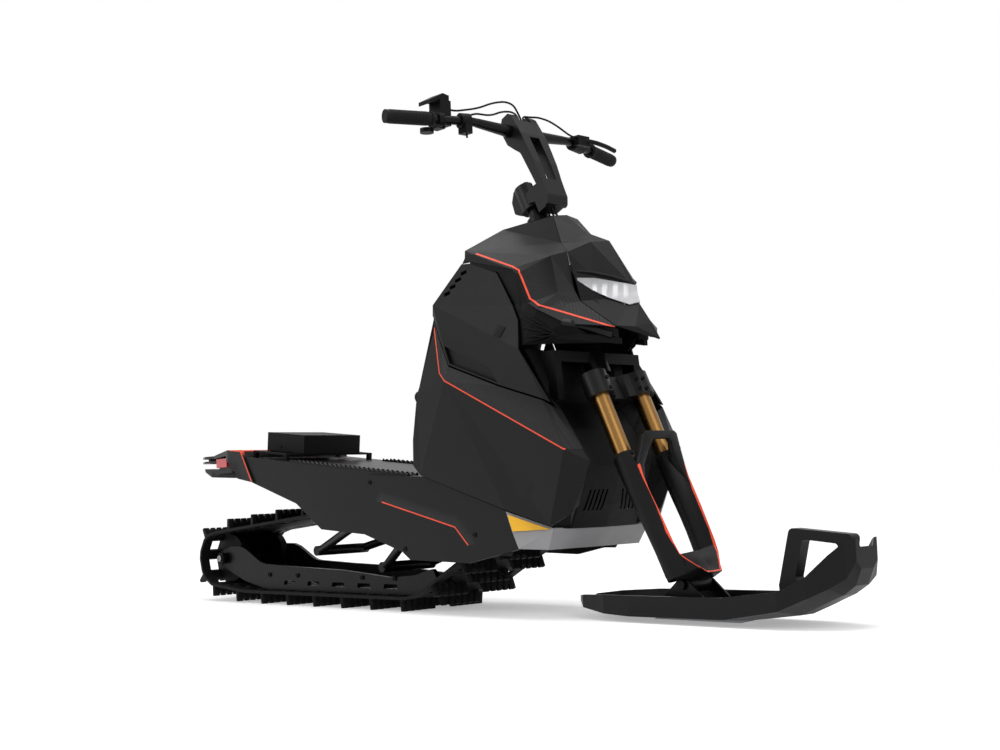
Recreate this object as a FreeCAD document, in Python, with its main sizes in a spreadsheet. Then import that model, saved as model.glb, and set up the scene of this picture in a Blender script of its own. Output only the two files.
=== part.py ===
"""Stand-up snowmobile: one rubber track under a sloping deck, one steered ski in front.

The machine stands as it parks. X points forward, Y to the rider's left, Z up, and the
origin is on the floor in the middle of its length. Lengths are millimetres.
"""
import FreeCAD
import Part
import math
import os

Vector = FreeCAD.Vector
doc = FreeCAD.newDocument("Snowmobile")

# Driving dimensions: alias, value, what it is
SIZES = [
    ("half_length", 1150.0, "from the middle to the ski's nose and to the rear bumper"),
    ("belt_width", 284.0, "rubber belt, edge to edge"),
    ("belt_thickness", 8.0, "rubber belt without its lugs"),
    ("belt_pitch", 64.0, "from one rod of the belt to the next"),
    ("lug_height", 30.0, "lug above the belt"),
    ("lug_thickness", 13.0, "lug along the belt"),
    ("window_width", 32.0, "belt window across the belt"),
    ("window_length", 34.0, "belt window along the belt"),
    ("idler_radius", 72.0, "rear idler wheels"),
    ("idler_width", 22.0, "rear idler wheels"),
    ("axle_back", 1037.5, "rear axle behind the origin"),
    ("axle_height", 128.0, "rear axle above the floor"),
    ("axle_radius", 10.0, "rear and front axles"),
    ("flat_back", 880.0, "where the belt leaves the floor, behind the origin"),
    ("flat_front", 106.0, "where the belt leaves the floor in front, behind the origin"),
    ("ramp_angle", 27.6, "front ramp of the belt"),
    ("flat_bend", 160.0, "radius where the belt leaves the floor"),
    ("sprocket_teeth", 7.0, "teeth of the drive sprockets"),
    ("sprocket_front", 145.0, "drive axle ahead of the origin"),
    ("rail_spacing", 194.0, "slide rails, middle to middle"),
    ("rail_thickness", 12.0, "slide rail plate"),
    ("rail_height", 68.0, "slide rail along the floor"),
    ("tunnel_width", 370.0, "over the side plates"),
    ("plate", 4.0, "tunnel plate"),
    ("deck_slope", 5.95, "deck, rising to the rear"),
    ("deck_height", 349.0, "deck at its front reference"),
    ("deck_front", 43.0, "front reference of the deck, behind the origin"),
    ("tail_reach", 270.0, "rear bumper behind the deck's end"),
    ("strip_length", 520.0, "traction strips"),
    ("strip_width", 36.0, "traction strips"),
    ("strip_tooth", 7.0, "teeth of the traction strips"),
    ("rack_length", 165.0, "rack, along the deck"),
    ("rack_width", 310.0, "rack, across the deck"),
    ("rack_height", 20.0, "top of the rack above the deck"),
    ("rack_bar", 16.0, "width of the rack's flat bars"),
    ("box_length", 183.0, "box on the rack"),
    ("box_width", 202.0, "box on the rack"),
    ("box_height", 53.0, "box on the rack"),
    ("panel_wall", 4.0, "body panels"),
    ("cover_wall", 10.0, "lower side covers"),
    ("engine_length", 235.0, "engine block"),
    ("engine_width", 230.0, "engine block"),
    ("engine_height", 250.0, "engine block"),
    ("rake", 24.5, "steering axis from upright"),
    ("head_front", 262.0, "top of the steering head ahead of the origin"),
    ("head_height", 977.0, "top of the steering head above the floor"),
    ("head_length", 452.0, "steering head tube"),
    ("head_radius", 29.0, "steering head tube"),
    ("column_radius", 19.0, "steering column"),
    ("running_gap", 1.0, "between the column and the head tube"),
    ("fork_offset", 36.0, "stanchions ahead of the steering axis"),
    ("fork_spacing", 144.0, "stanchions, middle to middle"),
    ("stanchion_radius", 20.5, "upper fork tubes"),
    ("crown_depth", 470.0, "top of the fork crown below the steering head's top"),
    ("crown_height", 58.0, "fork crown along the axis"),
    ("lower_depth", 690.0, "top of the fork lower below the steering head's top"),
    ("fork_seat", 0.3, "between pieces that seat in each other"),
    ("pivot_depth", 1000.0, "ski pivot below the steering head's top"),
    ("pivot_radius", 6.0, "ski pivot bolt"),
    ("riser_offset", 50.0, "handlebar ahead of the steering axis"),
    ("riser_height", 227.0, "handlebar above the steering head's top"),
    ("bar_radius", 11.0, "handlebar tube"),
    ("bar_clamp_radius", 16.0, "handlebar in its clamp"),
    ("grip_radius", 16.5, "grips"),
    ("grip_length", 133.0, "grips"),
    ("bar_width", 802.0, "handlebar over the grips"),
    ("cable_radius", 2.5, "control cables"),
    ("ski_width", 214.0, "ski over its rims"),
    ("ski_wall", 10.0, "ski rims"),
    ("keel_width", 46.0, "keel of the ski"),
    ("wear_height", 7.0, "wear bar under the keel"),
]

sheet = doc.addObject("Spreadsheet::Sheet", "Sizes")
for row, (alias, value, meaning) in enumerate(SIZES, start=1):
    sheet.set(f"A{row}", meaning)
    sheet.set(f"B{row}", str(value))
    sheet.setAlias(f"B{row}", alias)
doc.recompute()


def size(alias):
    """Reads one driving dimension back from the sheet."""
    return float(getattr(sheet, alias))


def bind(thing, **expressions):
    """Binds properties of an object to the sheet. A dot in a property is written as __."""
    for name, text in expressions.items():
        thing.setExpression(name.replace("__", "."), str(text))
    return thing


def put(thing, x="0", y="0", z="0"):
    """Binds the position of an object to expressions on the sheet."""
    return bind(thing, Placement__Base__x=x, Placement__Base__y=y, Placement__Base__z=z)


def block(name, length, width, height, x, y, z):
    """A box with one corner at x, y, z. Everything is an expression on the sheet."""
    return put(bind(doc.addObject("Part::Box", name), Length=length, Width=width, Height=height), x, y, z)


AXES = {"Z": FreeCAD.Rotation(), "Y": FreeCAD.Rotation(Vector(1, 0, 0), -90),
        "X": FreeCAD.Rotation(Vector(0, 1, 0), 90)}


def rod(name, radius, height, x, y, z, axis="Z"):
    """A cylinder that starts at x, y, z and runs along one axis."""
    thing = doc.addObject("Part::Cylinder", name)
    thing.Placement = FreeCAD.Placement(Vector(), AXES[axis])
    return put(bind(thing, Radius=radius, Height=height), x, y, z)


def origin_plane(body, role):
    """One of a body's own origin planes."""
    return next(plane for plane in body.Origin.OriginFeatures if plane.Role == role)


def draw(flat, outline):
    """Draws one closed outline. A corner may have a third number, the radius that rounds it."""
    if isinstance(outline, tuple):
        x, y, radius = outline
        flat.addGeometry(Part.Circle(Vector(x, y, 0), Vector(0, 0, 1), radius), False)
        return
    corners = [Vector(corner[0], corner[1], 0) for corner in outline]
    starts, ends = [], []
    for number, corner in enumerate(outline):
        here = corners[number]
        if len(corner) < 3:
            starts.append(here)
            ends.append(here)
            continue
        into = (here - corners[number - 1]).normalize()
        out = (corners[(number + 1) % len(corners)] - here).normalize()
        turn = into.getAngle(out)
        set_back = corner[2] * math.tan(turn / 2)
        start, end = here - into * set_back, here + out * set_back
        middle = here + (out - into).normalize() * (corner[2] / math.cos(turn / 2) - corner[2])
        flat.addGeometry(Part.Arc(start, middle, end), False)
        starts.append(start)
        ends.append(end)
    for number in range(len(corners)):
        start, end = ends[number - 1], starts[number]
        if (end - start).Length > 1e-6:
            flat.addGeometry(Part.LineSegment(start, end), False)


def plate(name, plane, outlines, thickness, offset=None):
    """A flat piece: outlines padded both ways from their plane, or forward from an offset."""
    body = doc.addObject("PartDesign::Body", name)
    flat = body.newObject("Sketcher::SketchObject", name + "_outline")
    flat.AttachmentSupport = [(origin_plane(body, plane + "_Plane"), "")]
    flat.MapMode = "FlatFace"
    for outline in outlines:
        draw(flat, outline)
    pad = body.newObject("PartDesign::Pad", name + "_pad")
    pad.Profile = flat
    pad.SideType = "Symmetric" if offset is None else "One side"
    bind(pad, Length=thickness)
    if offset is not None:
        side = {"XZ": "y", "XY": "z", "YZ": "x"}[plane]
        body.setExpression("Placement.Base." + side, str(offset))
    return body


def join(name, pieces):
    """One solid from pieces that run into each other."""
    thing = doc.addObject("Part::MultiFuse", name)
    thing.Shapes = pieces
    thing.Refine = True
    return thing


def cut(name, base, tool):
    """The base without the tool, or without all of several tools."""
    thing = doc.addObject("Part::Cut", name)
    thing.Base = base
    thing.Tool = join(name + "_tools", tool) if isinstance(tool, list) else tool
    return thing


def group(name, pieces):
    """Pieces that stay separate solids in one node."""
    thing = doc.addObject("Part::Compound", name)
    thing.Links = pieces
    return thing


def mirror(name, source):
    """The same piece on the rider's other side."""
    thing = doc.addObject("Part::Mirroring", name)
    thing.Source = source
    thing.Normal = Vector(0, 1, 0)
    return thing


def made(name, shape):
    """A sub-part whose shape is worked out in code."""
    thing = doc.addObject("Part::Feature", name)
    thing.Shape = shape
    return thing


def common(name, first, second):
    """What two pieces share."""
    thing = doc.addObject("Part::MultiCommon", name)
    thing.Shapes = [first, second]
    return thing


NODES = []


def node(thing, label):
    """Names a finished sub-part and keeps it for the STEP files."""
    thing.Label = label
    NODES.append(thing)
    return thing


def deck_at(x):
    """Height of the deck's top at a place along the machine."""
    slope = math.tan(math.radians(size("deck_slope")))
    return size("deck_height") - (x + size("deck_front")) * slope


deck_end = size("half_length") - size("tail_reach")

# Facetted sheets: the body panels are moulded skins with flat facets
def facet_solid(corners, faces):
    """A closed solid from corner points and flat faces."""
    pieces = []
    for face in faces:
        for second, third in zip(face[1:], face[2:]):
            loop = [corners[face[0]], corners[second], corners[third]]
            pieces.append(Part.Face(Part.makePolygon(loop + loop[:1])))
    solid = Part.Solid(Part.Shell(pieces))
    if solid.Volume < 0:
        solid.reverse()
    return solid


def skin(points, faces, wall):
    """A sheet of one wall's thickness behind facets, whose corners run anticlockwise from outside."""
    names = sorted({name for face in faces for name in face})
    outer = {name: Vector(*points[name]) for name in names}
    normals = {name: [] for name in names}
    edges = {}
    for face in faces:
        for second, third in zip(face[1:], face[2:]):
            a, b, c = outer[face[0]], outer[second], outer[third]
            across = (b - a).cross(c - a)
            if across.Length > 1e-6:
                across.normalize()
                for name in (face[0], second, third):
                    if all(across.dot(other) < 0.9999 for other in normals[name]):
                        normals[name].append(across)
        for start, end in zip(face, face[1:] + face[:1]):
            edges[(start, end)] = True
    corners, index = [], {}
    for name in names:
        total = Vector()
        for across in normals[name]:
            total += across
        total.normalize()
        reach = min(max(min(total.dot(across) for across in normals[name]), 0.6), 1.0)
        index[name] = len(corners)
        corners.append(outer[name])
        corners.append(outer[name] - total * (wall / reach))
    solid_faces = [[index[name] for name in face] for face in faces]
    solid_faces += [[index[name] + 1 for name in reversed(face)] for face in faces]
    for start, end in edges:
        if (end, start) not in edges:
            a, b = index[start], index[end]
            solid_faces.append([b, a, a + 1, b + 1])
    return facet_solid(corners, solid_faces)


def largest(shape):
    """The main solid of a shape, without the slivers that a cut leaves."""
    return max(shape.Solids, key=lambda solid: solid.Volume)


def flipped(shape):
    """The same shape on the rider's other side."""
    return shape.mirror(Vector(), Vector(0, 1, 0))


def both_sides(points, faces):
    """Adds the mirrored half: names that end in 0 are on the middle plane and shared."""
    table = dict(points)
    for name, (x, y, z) in points.items():
        if not name.endswith("0"):
            table[name + "m"] = (x, -y, z)
    other = [tuple(name if name.endswith("0") else name + "m" for name in reversed(face)) for face in faces]
    return table, list(faces) + other


# Steering axis: its own zero is the top of the steering head
head_place = FreeCAD.Placement(Vector(size("head_front"), 0, size("head_height")),
                               FreeCAD.Rotation(Vector(0, 1, 0), -size("rake")))

# Track: the path of the belt's middle line round idlers, floor, ramp and sprockets
belt_half = size("belt_thickness") / 2
floor_line = size("lug_height") + belt_half
seat = size("fork_seat")
lug_share = 3 / 16
belt_chord = size("belt_pitch") * (1 - 2 * lug_share)
chord_sag = belt_chord ** 2 / (8 * size("idler_radius"))
idler_track = size("idler_radius") + seat + chord_sag + belt_half
sprocket_track = size("belt_pitch") * size("sprocket_teeth") / (2 * math.pi)
axle = Vector(-size("axle_back"), 0, size("axle_height"))
ramp = math.radians(size("ramp_angle"))
drive = Vector(size("sprocket_front"), 0, floor_line + sprocket_track / math.cos(ramp)
               + (size("sprocket_front") + size("flat_front")) * math.tan(ramp))


def tangent(centre, radius, point, side):
    """Where a straight run from a point touches a wheel, on the given side of the wheel."""
    away = point - centre
    reach = away.Length
    turn = math.acos(radius / reach) * side
    spot = Vector(away.x * math.cos(turn) - away.z * math.sin(turn), 0,
                  away.x * math.sin(turn) + away.z * math.cos(turn))
    return centre + spot * (radius / reach)


def rounded(before, corner, after, radius):
    """Start, middle and end of the arc that rounds a corner of the belt's path."""
    into = (corner - before).normalize()
    out = (after - corner).normalize()
    turn = into.getAngle(out)
    set_back = radius * math.tan(turn / 2)
    middle = corner + (out - into).normalize() * (radius / math.cos(turn / 2) - radius)
    return corner - into * set_back, middle, corner + out * set_back


def belt_path():
    """The closed middle line of the belt as one wire, seen from the rider's right."""
    rear_foot = Vector(-size("flat_back"), 0, floor_line)
    front_foot = Vector(-size("flat_front"), 0, floor_line)
    rear_low = tangent(axle, idler_track, rear_foot, -1)
    front_low = drive + Vector(math.sin(ramp), 0, -math.cos(ramp)) * sprocket_track
    between = axle - drive
    lean = math.acos((sprocket_track - idler_track) / between.Length)
    up = Vector(between.x * math.cos(-lean) - between.z * math.sin(-lean), 0,
                between.x * math.sin(-lean) + between.z * math.cos(-lean)).normalize()
    front_high = drive + up * sprocket_track
    rear_high = axle + up * idler_track
    front_mid = drive + Vector(1, 0, 0.25).normalize() * sprocket_track
    rear_mid = axle + Vector(-1, 0, -0.1).normalize() * idler_track
    rear_bend = rounded(rear_low, rear_foot, front_foot, size("flat_bend"))
    front_bend = rounded(rear_foot, front_foot, front_low, size("flat_bend"))
    return Part.Wire([
        Part.LineSegment(rear_low, rear_bend[0]).toShape(),
        Part.Arc(*rear_bend).toShape(),
        Part.LineSegment(rear_bend[2], front_bend[0]).toShape(),
        Part.Arc(*front_bend).toShape(),
        Part.LineSegment(front_bend[2], front_low).toShape(),
        Part.Arc(front_low, front_mid, front_high).toShape(),
        Part.LineSegment(front_high, rear_high).toShape(),
        Part.Arc(rear_high, rear_mid, rear_low).toShape()])


belt_line = belt_path()
pitch_count = int(round(belt_line.Length / size("belt_pitch")))
STEPS = 16
fine_points = belt_line.discretize(Number=STEPS * pitch_count + 1)[:-1]
lug_steps = round(lug_share * STEPS)
line_points = []
for pitch in range(pitch_count):
    line_points.append(fine_points[STEPS * pitch - lug_steps])
    line_points.append(fine_points[STEPS * pitch + lug_steps])


def belt_frame(number):
    """Middle of one flat of the belt: its place, its direction along the belt and outwards.

    Even flats carry a lug, and odd flats have the windows.
    """
    start = line_points[number % len(line_points)]
    end = line_points[(number + 1) % len(line_points)]
    along = (end - start).normalize()
    outward = Vector(along.z, 0, -along.x)
    return (start + end) * 0.5, along, outward


def belt_block(number, length, y_from, y_to, low, high, taper=0.0):
    """A block across the belt, from one height over the middle line to another."""
    middle, along, outward = belt_frame(number)
    corners = []
    for height, shrink in ((low, 0.0), (high, taper)):
        for step in (-length / 2 + shrink, length / 2 - shrink):
            for y in (y_from + shrink, y_to - shrink):
                corners.append(middle + along * step + outward * height + Vector(0, y, 0))
    return facet_solid(corners, [(0, 1, 3, 2), (4, 6, 7, 5), (0, 4, 5, 1), (2, 3, 7, 6), (0, 2, 6, 4), (1, 5, 7, 3)])


def belt_track():
    """The whole belt with its windows and lugs, one solid."""
    count = len(line_points)
    inner, outer = [], []
    for number in range(count):
        _, _, before = belt_frame(number - 1)
        _, _, after = belt_frame(number)
        outward = (before + after).normalize()
        spread = belt_half / max(outward.dot(after), 0.5)
        outer.append(line_points[number] + outward * spread)
        inner.append(line_points[number] - outward * spread)
    half = size("belt_width") / 2
    ring = Part.Face([Part.makePolygon(outer + outer[:1]), Part.makePolygon(inner + inner[:1])], "Part::FaceMakerBullseye")
    ring.translate(Vector(0, -half, 0))
    belt = ring.extrude(Vector(0, 2 * half, 0))
    rail = size("rail_spacing") / 2
    window = size("window_width") / 2
    windows, lugs = [], []
    for pitch in range(pitch_count):
        for side in (-1, 1):
            windows.append(belt_block(2 * pitch + 1, size("window_length"), side * rail - window,
                                      side * rail + window, -3 * belt_half, 3 * belt_half))
        top = belt_half + size("lug_height")
        root = belt_half - 1.0
        if pitch % 2:
            lugs.append(belt_block(2 * pitch, size("lug_thickness"), -rail * 0.7, rail * 0.7, root, top, 2.0))
        else:
            for side in (-1, 1):
                ends = sorted((side * (half - 1), side * rail * 0.28))
                lugs.append(belt_block(2 * pitch, size("lug_thickness"), ends[0], ends[1], root, top, 2.0))
    return belt.cut(windows).fuse(lugs)


node(made("Track", belt_track()), "track")

# Skid: rails, idlers, arms
belt_inside = size("lug_height") + size("belt_thickness")
rail_top = belt_inside + size("rail_height")
rail_low = belt_inside + seat
bend_sag = belt_chord ** 2 / (8 * size("flat_bend"))


def rail_outline():
    """Side view of one slide rail, which follows the belt inside and rises to the rear axle."""
    rise = math.tan(ramp)
    front = -size("flat_front")
    back = -size("flat_back")
    tail = -size("axle_back")
    over = rail_low + bend_sag
    bend = size("flat_bend") - belt_half
    reach = 62.0
    return [(tail - 22, size("axle_height") - 22, 12), (back - 52, over + 22, 60), (back + 60, over, 80),
            (front, over, bend), (front + reach, over + reach * rise, 8),
            (front + reach - 22, over + reach * rise + 38, 8), (front - 30, rail_top - 14, 60),
            (front - 130, rail_top - 22, 60), (back + 440, rail_top - 6), (back + 230, rail_top),
            (back + 40, rail_top + 8, 120), (back - 45, rail_top + 50, 30), (back - 75, rail_top + 58, 12),
            (tail + 30, rail_top + 58, 12), (tail - 26, size("axle_height") + 20, 12)]


def rail_on(side, name):
    """One slide rail on the given side."""
    holes = [(-size("axle_back"), size("axle_height"), size("axle_radius") + size("fork_seat"))]
    for step in range(5):
        middle = -size("flat_back") + 180 + 115 * step
        holes.append([(middle - 30, rail_low + 16), (middle + 30, rail_low + 16),
                      (middle + 26, rail_low + 28), (middle - 26, rail_low + 28)])
    offset = f"{side}*Sizes.rail_spacing/2 + Sizes.rail_thickness/2"
    return plate(name, "XZ", [rail_outline()] + holes, "Sizes.rail_thickness", offset)


node(group("SlideRails", [rail_on(-1, "RailRight"), rail_on(1, "RailLeft")]), "slide_rails")

axle_reach = "(Sizes.rail_spacing/2 + Sizes.rail_thickness/2 + 16)"
idlers = [rod("AxleShaft", "Sizes.axle_radius", "2*" + axle_reach, "-Sizes.axle_back", "-" + axle_reach,
              "Sizes.axle_height", "Y")]
for number, place in enumerate(("-(Sizes.rail_spacing/2 - 26)", "Sizes.rail_spacing/2 - 26")):
    idlers.append(rod(f"Idler{number}", "Sizes.idler_radius", "Sizes.idler_width", "-Sizes.axle_back",
                      f"{place} - Sizes.idler_width/2", "Sizes.axle_height", "Y"))
for number, place in enumerate(("-" + axle_reach + " - 1", axle_reach + " - 11")):
    idlers.append(rod(f"AxleNut{number}", "Sizes.axle_radius*1.7", "12", "-Sizes.axle_back", place,
                      "Sizes.axle_height", "Y"))
node(join("RearAxle", idlers), "rear_axle")

sprocket_sag = belt_chord ** 2 / (8 * sprocket_track)
sprocket_radius = sprocket_track - sprocket_sag - belt_half - seat
sprockets = [rod("DriveShaft", "Sizes.axle_radius*1.4", "Sizes.tunnel_width - 2*Sizes.plate - 1", str(drive.x),
                 "-(Sizes.tunnel_width/2 - Sizes.plate - 0.5)", str(drive.z), "Y")]
for number, place in enumerate(("-52", "40")):
    sprockets.append(rod(f"Sprocket{number}", str(sprocket_radius), "12", str(drive.x), place,
                         str(drive.z), "Y"))
node(join("DriveAxle", sprockets), "drive_axle")


def bar_between(name, start, end, radius):
    """A round bar from one point to another."""
    thing = doc.addObject("Part::Cylinder", name)
    run = end - start
    thing.Height = run.Length
    thing.Radius = radius
    thing.Placement = FreeCAD.Placement(start, FreeCAD.Rotation(Vector(0, 0, 1), run))
    return thing


def arm(name, low, high, low_half, high_half, radius):
    """A welded suspension arm: a cross tube at each end and two legs between them."""
    side = Vector(0, 1, 0)
    return join(name, [
        bar_between(name + "Low", low - side * low_half, low + side * low_half, radius + 2),
        bar_between(name + "High", high - side * high_half, high + side * high_half, radius + 2),
        bar_between(name + "Right", low - side * (low_half - 14), high - side * (high_half - 30), radius),
        bar_between(name + "Left", low + side * (low_half - 14), high + side * (high_half - 30), radius)])


inside_rails = size("rail_spacing") / 2 - size("rail_thickness") / 2 - 0.3
inside_tunnel = size("tunnel_width") / 2 - size("plate") - 0.3
front_low_pin = Vector(-290, 0, rail_top + 4)
front_high_pin = Vector(-116, 0, 184)
rear_low_pin = Vector(-584, 0, rail_top + 46)
rear_high_pin = Vector(-330, 0, 222)
node(arm("FrontArm", front_low_pin, front_high_pin, inside_rails, inside_tunnel, 12), "front_arm")
node(arm("RearArm", rear_low_pin, rear_high_pin, inside_rails, inside_tunnel, 12), "rear_arm")

# Tunnel: one bent plate, open below and at the rear, which carries the skid and the engine
tunnel_side = [(-deck_end, deck_at(-deck_end)), (0, deck_at(0)), (30, 372), (345, 372), (345, 200),
               (310, 150), (-60, 150), (-97, 160), (-240, 202), (-429, 216), (-543, 288), (-762, 354),
               (-deck_end + 40, 382), (-deck_end, 400)]
tunnel_hollow = [(-1100, deck_at(-1100) - size("plate")), (0, deck_at(0) - size("plate")),
                 (30, 372 - size("plate")), (500, 372 - size("plate")), (500, 0), (-1100, 0)]
node(cut("Tunnel", plate("TunnelBlock", "XZ", [tunnel_side], "Sizes.tunnel_width"),
         plate("TunnelHollow", "XZ", [tunnel_hollow], "Sizes.tunnel_width - 2*Sizes.plate")), "tunnel")


def on_deck(thing, lift="0"):
    """Lays a piece on the deck: its own origin is the deck's front reference."""
    thing.Placement = FreeCAD.Placement(Vector(), FreeCAD.Rotation(Vector(0, 1, 0), size("deck_slope")))
    return put(thing, f"-Sizes.deck_front + ({lift})*sin(Sizes.deck_slope)", "0",
               f"Sizes.deck_height + ({lift})*cos(Sizes.deck_slope)")


def traction_strip(name, side):
    """A strip with two rows of saw teeth along one edge of the deck."""
    length = size("strip_length")
    teeth = int(length // 20)
    step = length / teeth
    saw = [(-length - 12, 0), (-12, 0)]
    for number in range(teeth):
        right = -12 - number * step
        saw += [(right - step * 0.1, size("strip_tooth")), (right - step * 0.5, size("strip_tooth") * 0.35)]
    saw.append((-length - 12, size("strip_tooth")))
    edge = f"{side}*(Sizes.tunnel_width/2 - Sizes.strip_width/2 - 1)"
    rows = [plate(f"{name}Row{row}", "XZ", [saw], "3", f"{edge} + 1.5 + {shift}")
            for row, shift in enumerate(("-Sizes.strip_width/2 + 4", "Sizes.strip_width/2 - 4"))]
    base = block(name + "Base", "Sizes.strip_length", "Sizes.strip_width", "2.5", "-Sizes.strip_length - 12",
                 f"{edge} - Sizes.strip_width/2", "0")
    return join(name, [base] + rows)


node(on_deck(group("TractionStrips", [traction_strip("StripRight", -1), traction_strip("StripLeft", 1)]), "0.3"),
     "traction_strips")

rack_back = deck_end - 125
frame_top = "Sizes.rack_height - 5"
rack_pieces = [
    cut("RackFrame", block("RackPlate", "Sizes.rack_length", "Sizes.rack_width", "5", f"-{rack_back}",
                           "-Sizes.rack_width/2", frame_top),
        [block("RackGapBack", "Sizes.rack_length/2 - 1.5*Sizes.rack_bar", "Sizes.rack_width - 2*Sizes.rack_bar", "9",
               f"-{rack_back} + Sizes.rack_bar", "-Sizes.rack_width/2 + Sizes.rack_bar", frame_top + " - 2"),
         block("RackGapFront", "Sizes.rack_length/2 - 1.5*Sizes.rack_bar", "Sizes.rack_width - 2*Sizes.rack_bar", "9",
               f"-{rack_back} + Sizes.rack_length/2 + Sizes.rack_bar/2", "-Sizes.rack_width/2 + Sizes.rack_bar",
               frame_top + " - 2")])]
for number, (x, y) in enumerate((("0", "-Sizes.rack_width/2"), ("Sizes.rack_length - 12", "-Sizes.rack_width/2"),
                                 ("0", "Sizes.rack_width/2 - 12"),
                                 ("Sizes.rack_length - 12", "Sizes.rack_width/2 - 12"))):
    rack_pieces.append(block(f"RackPost{number}", "12", "12", "Sizes.rack_height - 2", f"-{rack_back} + {x}", y, "0"))
node(on_deck(join("Rack", rack_pieces), "0.3"), "rack_frame")
box_block = block("BoxBlock", "Sizes.box_length", "Sizes.box_width", "Sizes.box_height",
                  f"-{rack_back} + Sizes.rack_length/2 - Sizes.box_length/2", "-Sizes.box_width/2", "0")
node(on_deck(group("CargoBox", [box_block]), "Sizes.rack_height + 0.6"), "cargo_box")

# Tail: the cap over the deck's end, the closing piece, lamp, bumper and tray
end = -deck_end
end_top = deck_at(end)
half_tunnel = size("tunnel_width") / 2
rear = -size("half_length")


def both_ways(points):
    """A plan outline from its right half: the other half is mirrored."""
    return [(x, -y) for x, y in points] + [(x, y) for x, y in reversed(points)]


cap_side = [(end - 132, end_top - 4), (end - 128, end_top + 5, 4), (end + 2, end_top + 16), (end + 70, end_top + 13, 6),
            (end + 135, end_top - 84), (end + 54, end_top - 70), (end + 34, end_top - 42), (end + 26, end_top - 24),
            (end - 68, end_top - 6)]
cap_plan = both_ways([(end - 140, 148), (end + 2, half_tunnel + 5), (end + 140, half_tunnel + 5)])
cap_under = [(end + 300, deck_at(end + 300) + seat), (end, end_top + seat), (end - 112, end_top - 4), (end - 112, 300),
             (end + 300, 300)]
cap_block = common("CapBlock", plate("CapSide", "XZ", [cap_side], "Sizes.tunnel_width + 20"),
                   plate("CapPlan", "XY", [cap_plan], "400", "200"))
node(cut("TailCap", cap_block, plate("CapUnder", "XZ", [cap_under], "Sizes.tunnel_width + 0.6")), "tail_cap")
fascia_plan = both_ways([(end - 122, 140), (end - 20, 168), (end - seat, 172)])
fascia_low = end_top - 51
lamp_low = end_top - 33
node(plate("TailFascia", "XY", [fascia_plan], str(end_top - 5.4 - fascia_low), str(fascia_low)), "tail_fascia")
lamp_outer = both_ways([(end - 132, 138), (end - 124, 149), (end - 26, 176)])
lamp_inner = both_ways([(end - 122.4, 140.4), (end - 20, 168.5)])
node(cut("TailLamp", plate("LampBand", "XY", [lamp_outer], "26", str(lamp_low)),
         plate("LampHollow", "XY", [lamp_inner], "30", str(lamp_low - 2))), "tail_lamp")


def bumper_loop(name, bottom, height):
    """One flat bar bent round the tail."""
    foot = end - 132 - seat
    outer = [(foot, 146), (end - 205, 138), (rear + 12, 112), (rear, 98)]
    inner = [(foot, 128), (end - 198, 122), (rear + 26, 98), (rear + 16, 86)]
    outline = [(x, -y) for x, y in outer] + [(x, y) for x, y in reversed(outer)]
    outline += [(x, y) for x, y in inner] + [(x, -y) for x, y in reversed(inner)]
    return plate(name, "XY", [outline], str(height), str(bottom))


low_loop = end_top - 17
high_loop = end_top - 3
node(join("RearBumper", [bumper_loop("BumperHigh", high_loop, 7), bumper_loop("BumperLow", low_loop, 6),
                         block("BumperLip", "12", "172", str(high_loop - low_loop), str(rear + 2), "-86",
                               str(low_loop))]), "rear_bumper")
tray_side = [(rear + 4, end_top - 32), (rear + 10, end_top - 42), (end - 184, end_top - 60), (end - 10, end_top - 67),
             (end - 10, fascia_low - seat), (end - 128, fascia_low - seat)]
tray_plan = both_ways([(rear, 100), (end - 184, 128), (end - 130, 138), (end, 150)])
node(common("TailTray", plate("TraySide", "XZ", [tray_side], "300"),
            plate("TrayPlan", "XY", [tray_plan], "300", str(end_top - 200))), "tail_tray")

# Lower side covers and the belly pan
cover_side = [(-212, 357), (-197, 317), (-70, 155), (-43, 138), (174, 132), (349, 166), (330, 209), (312, 255),
              (12, 346), (-43, 348)]
cover_block = plate("CoverBlock", "XZ", [cover_side], "Sizes.cover_wall",
                    "-(Sizes.tunnel_width/2 + 0.3)")
node(cover_block, "lower_cover_right")
node(mirror("CoverLeft", cover_block), "lower_cover_left")
wall = size("panel_wall")
belly_points = {
    "top": (313.4, -198, 254), "mid": (331.4, -198, 209), "low": (350.4, -196, 167),
    "front_low": (410, -158, 163), "front_high": (437, -168, 213),
    "nose_low0": (414, 0, 163), "nose_high0": (445, 0, 211)}
belly_faces = [("top", "mid", "front_high"), ("mid", "low", "front_high"), ("low", "front_low", "front_high"),
               ("front_low", "nose_low0", "nose_high0", "front_high")]
belly_shape = skin(*both_sides(belly_points, belly_faces), wall)
node(made("BellyPan", belly_shape), "belly_pan")
amber = skin({"a": (323, -202.5, 247), "b": (338, -202.5, 208), "c": (432, -173.5, 211)}, [("a", "b", "c")], 3.0)
amber_right = made("AmberRight", amber)
node(group("Reflectors", [amber_right, mirror("AmberLeft", amber_right)]), "reflectors")

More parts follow.
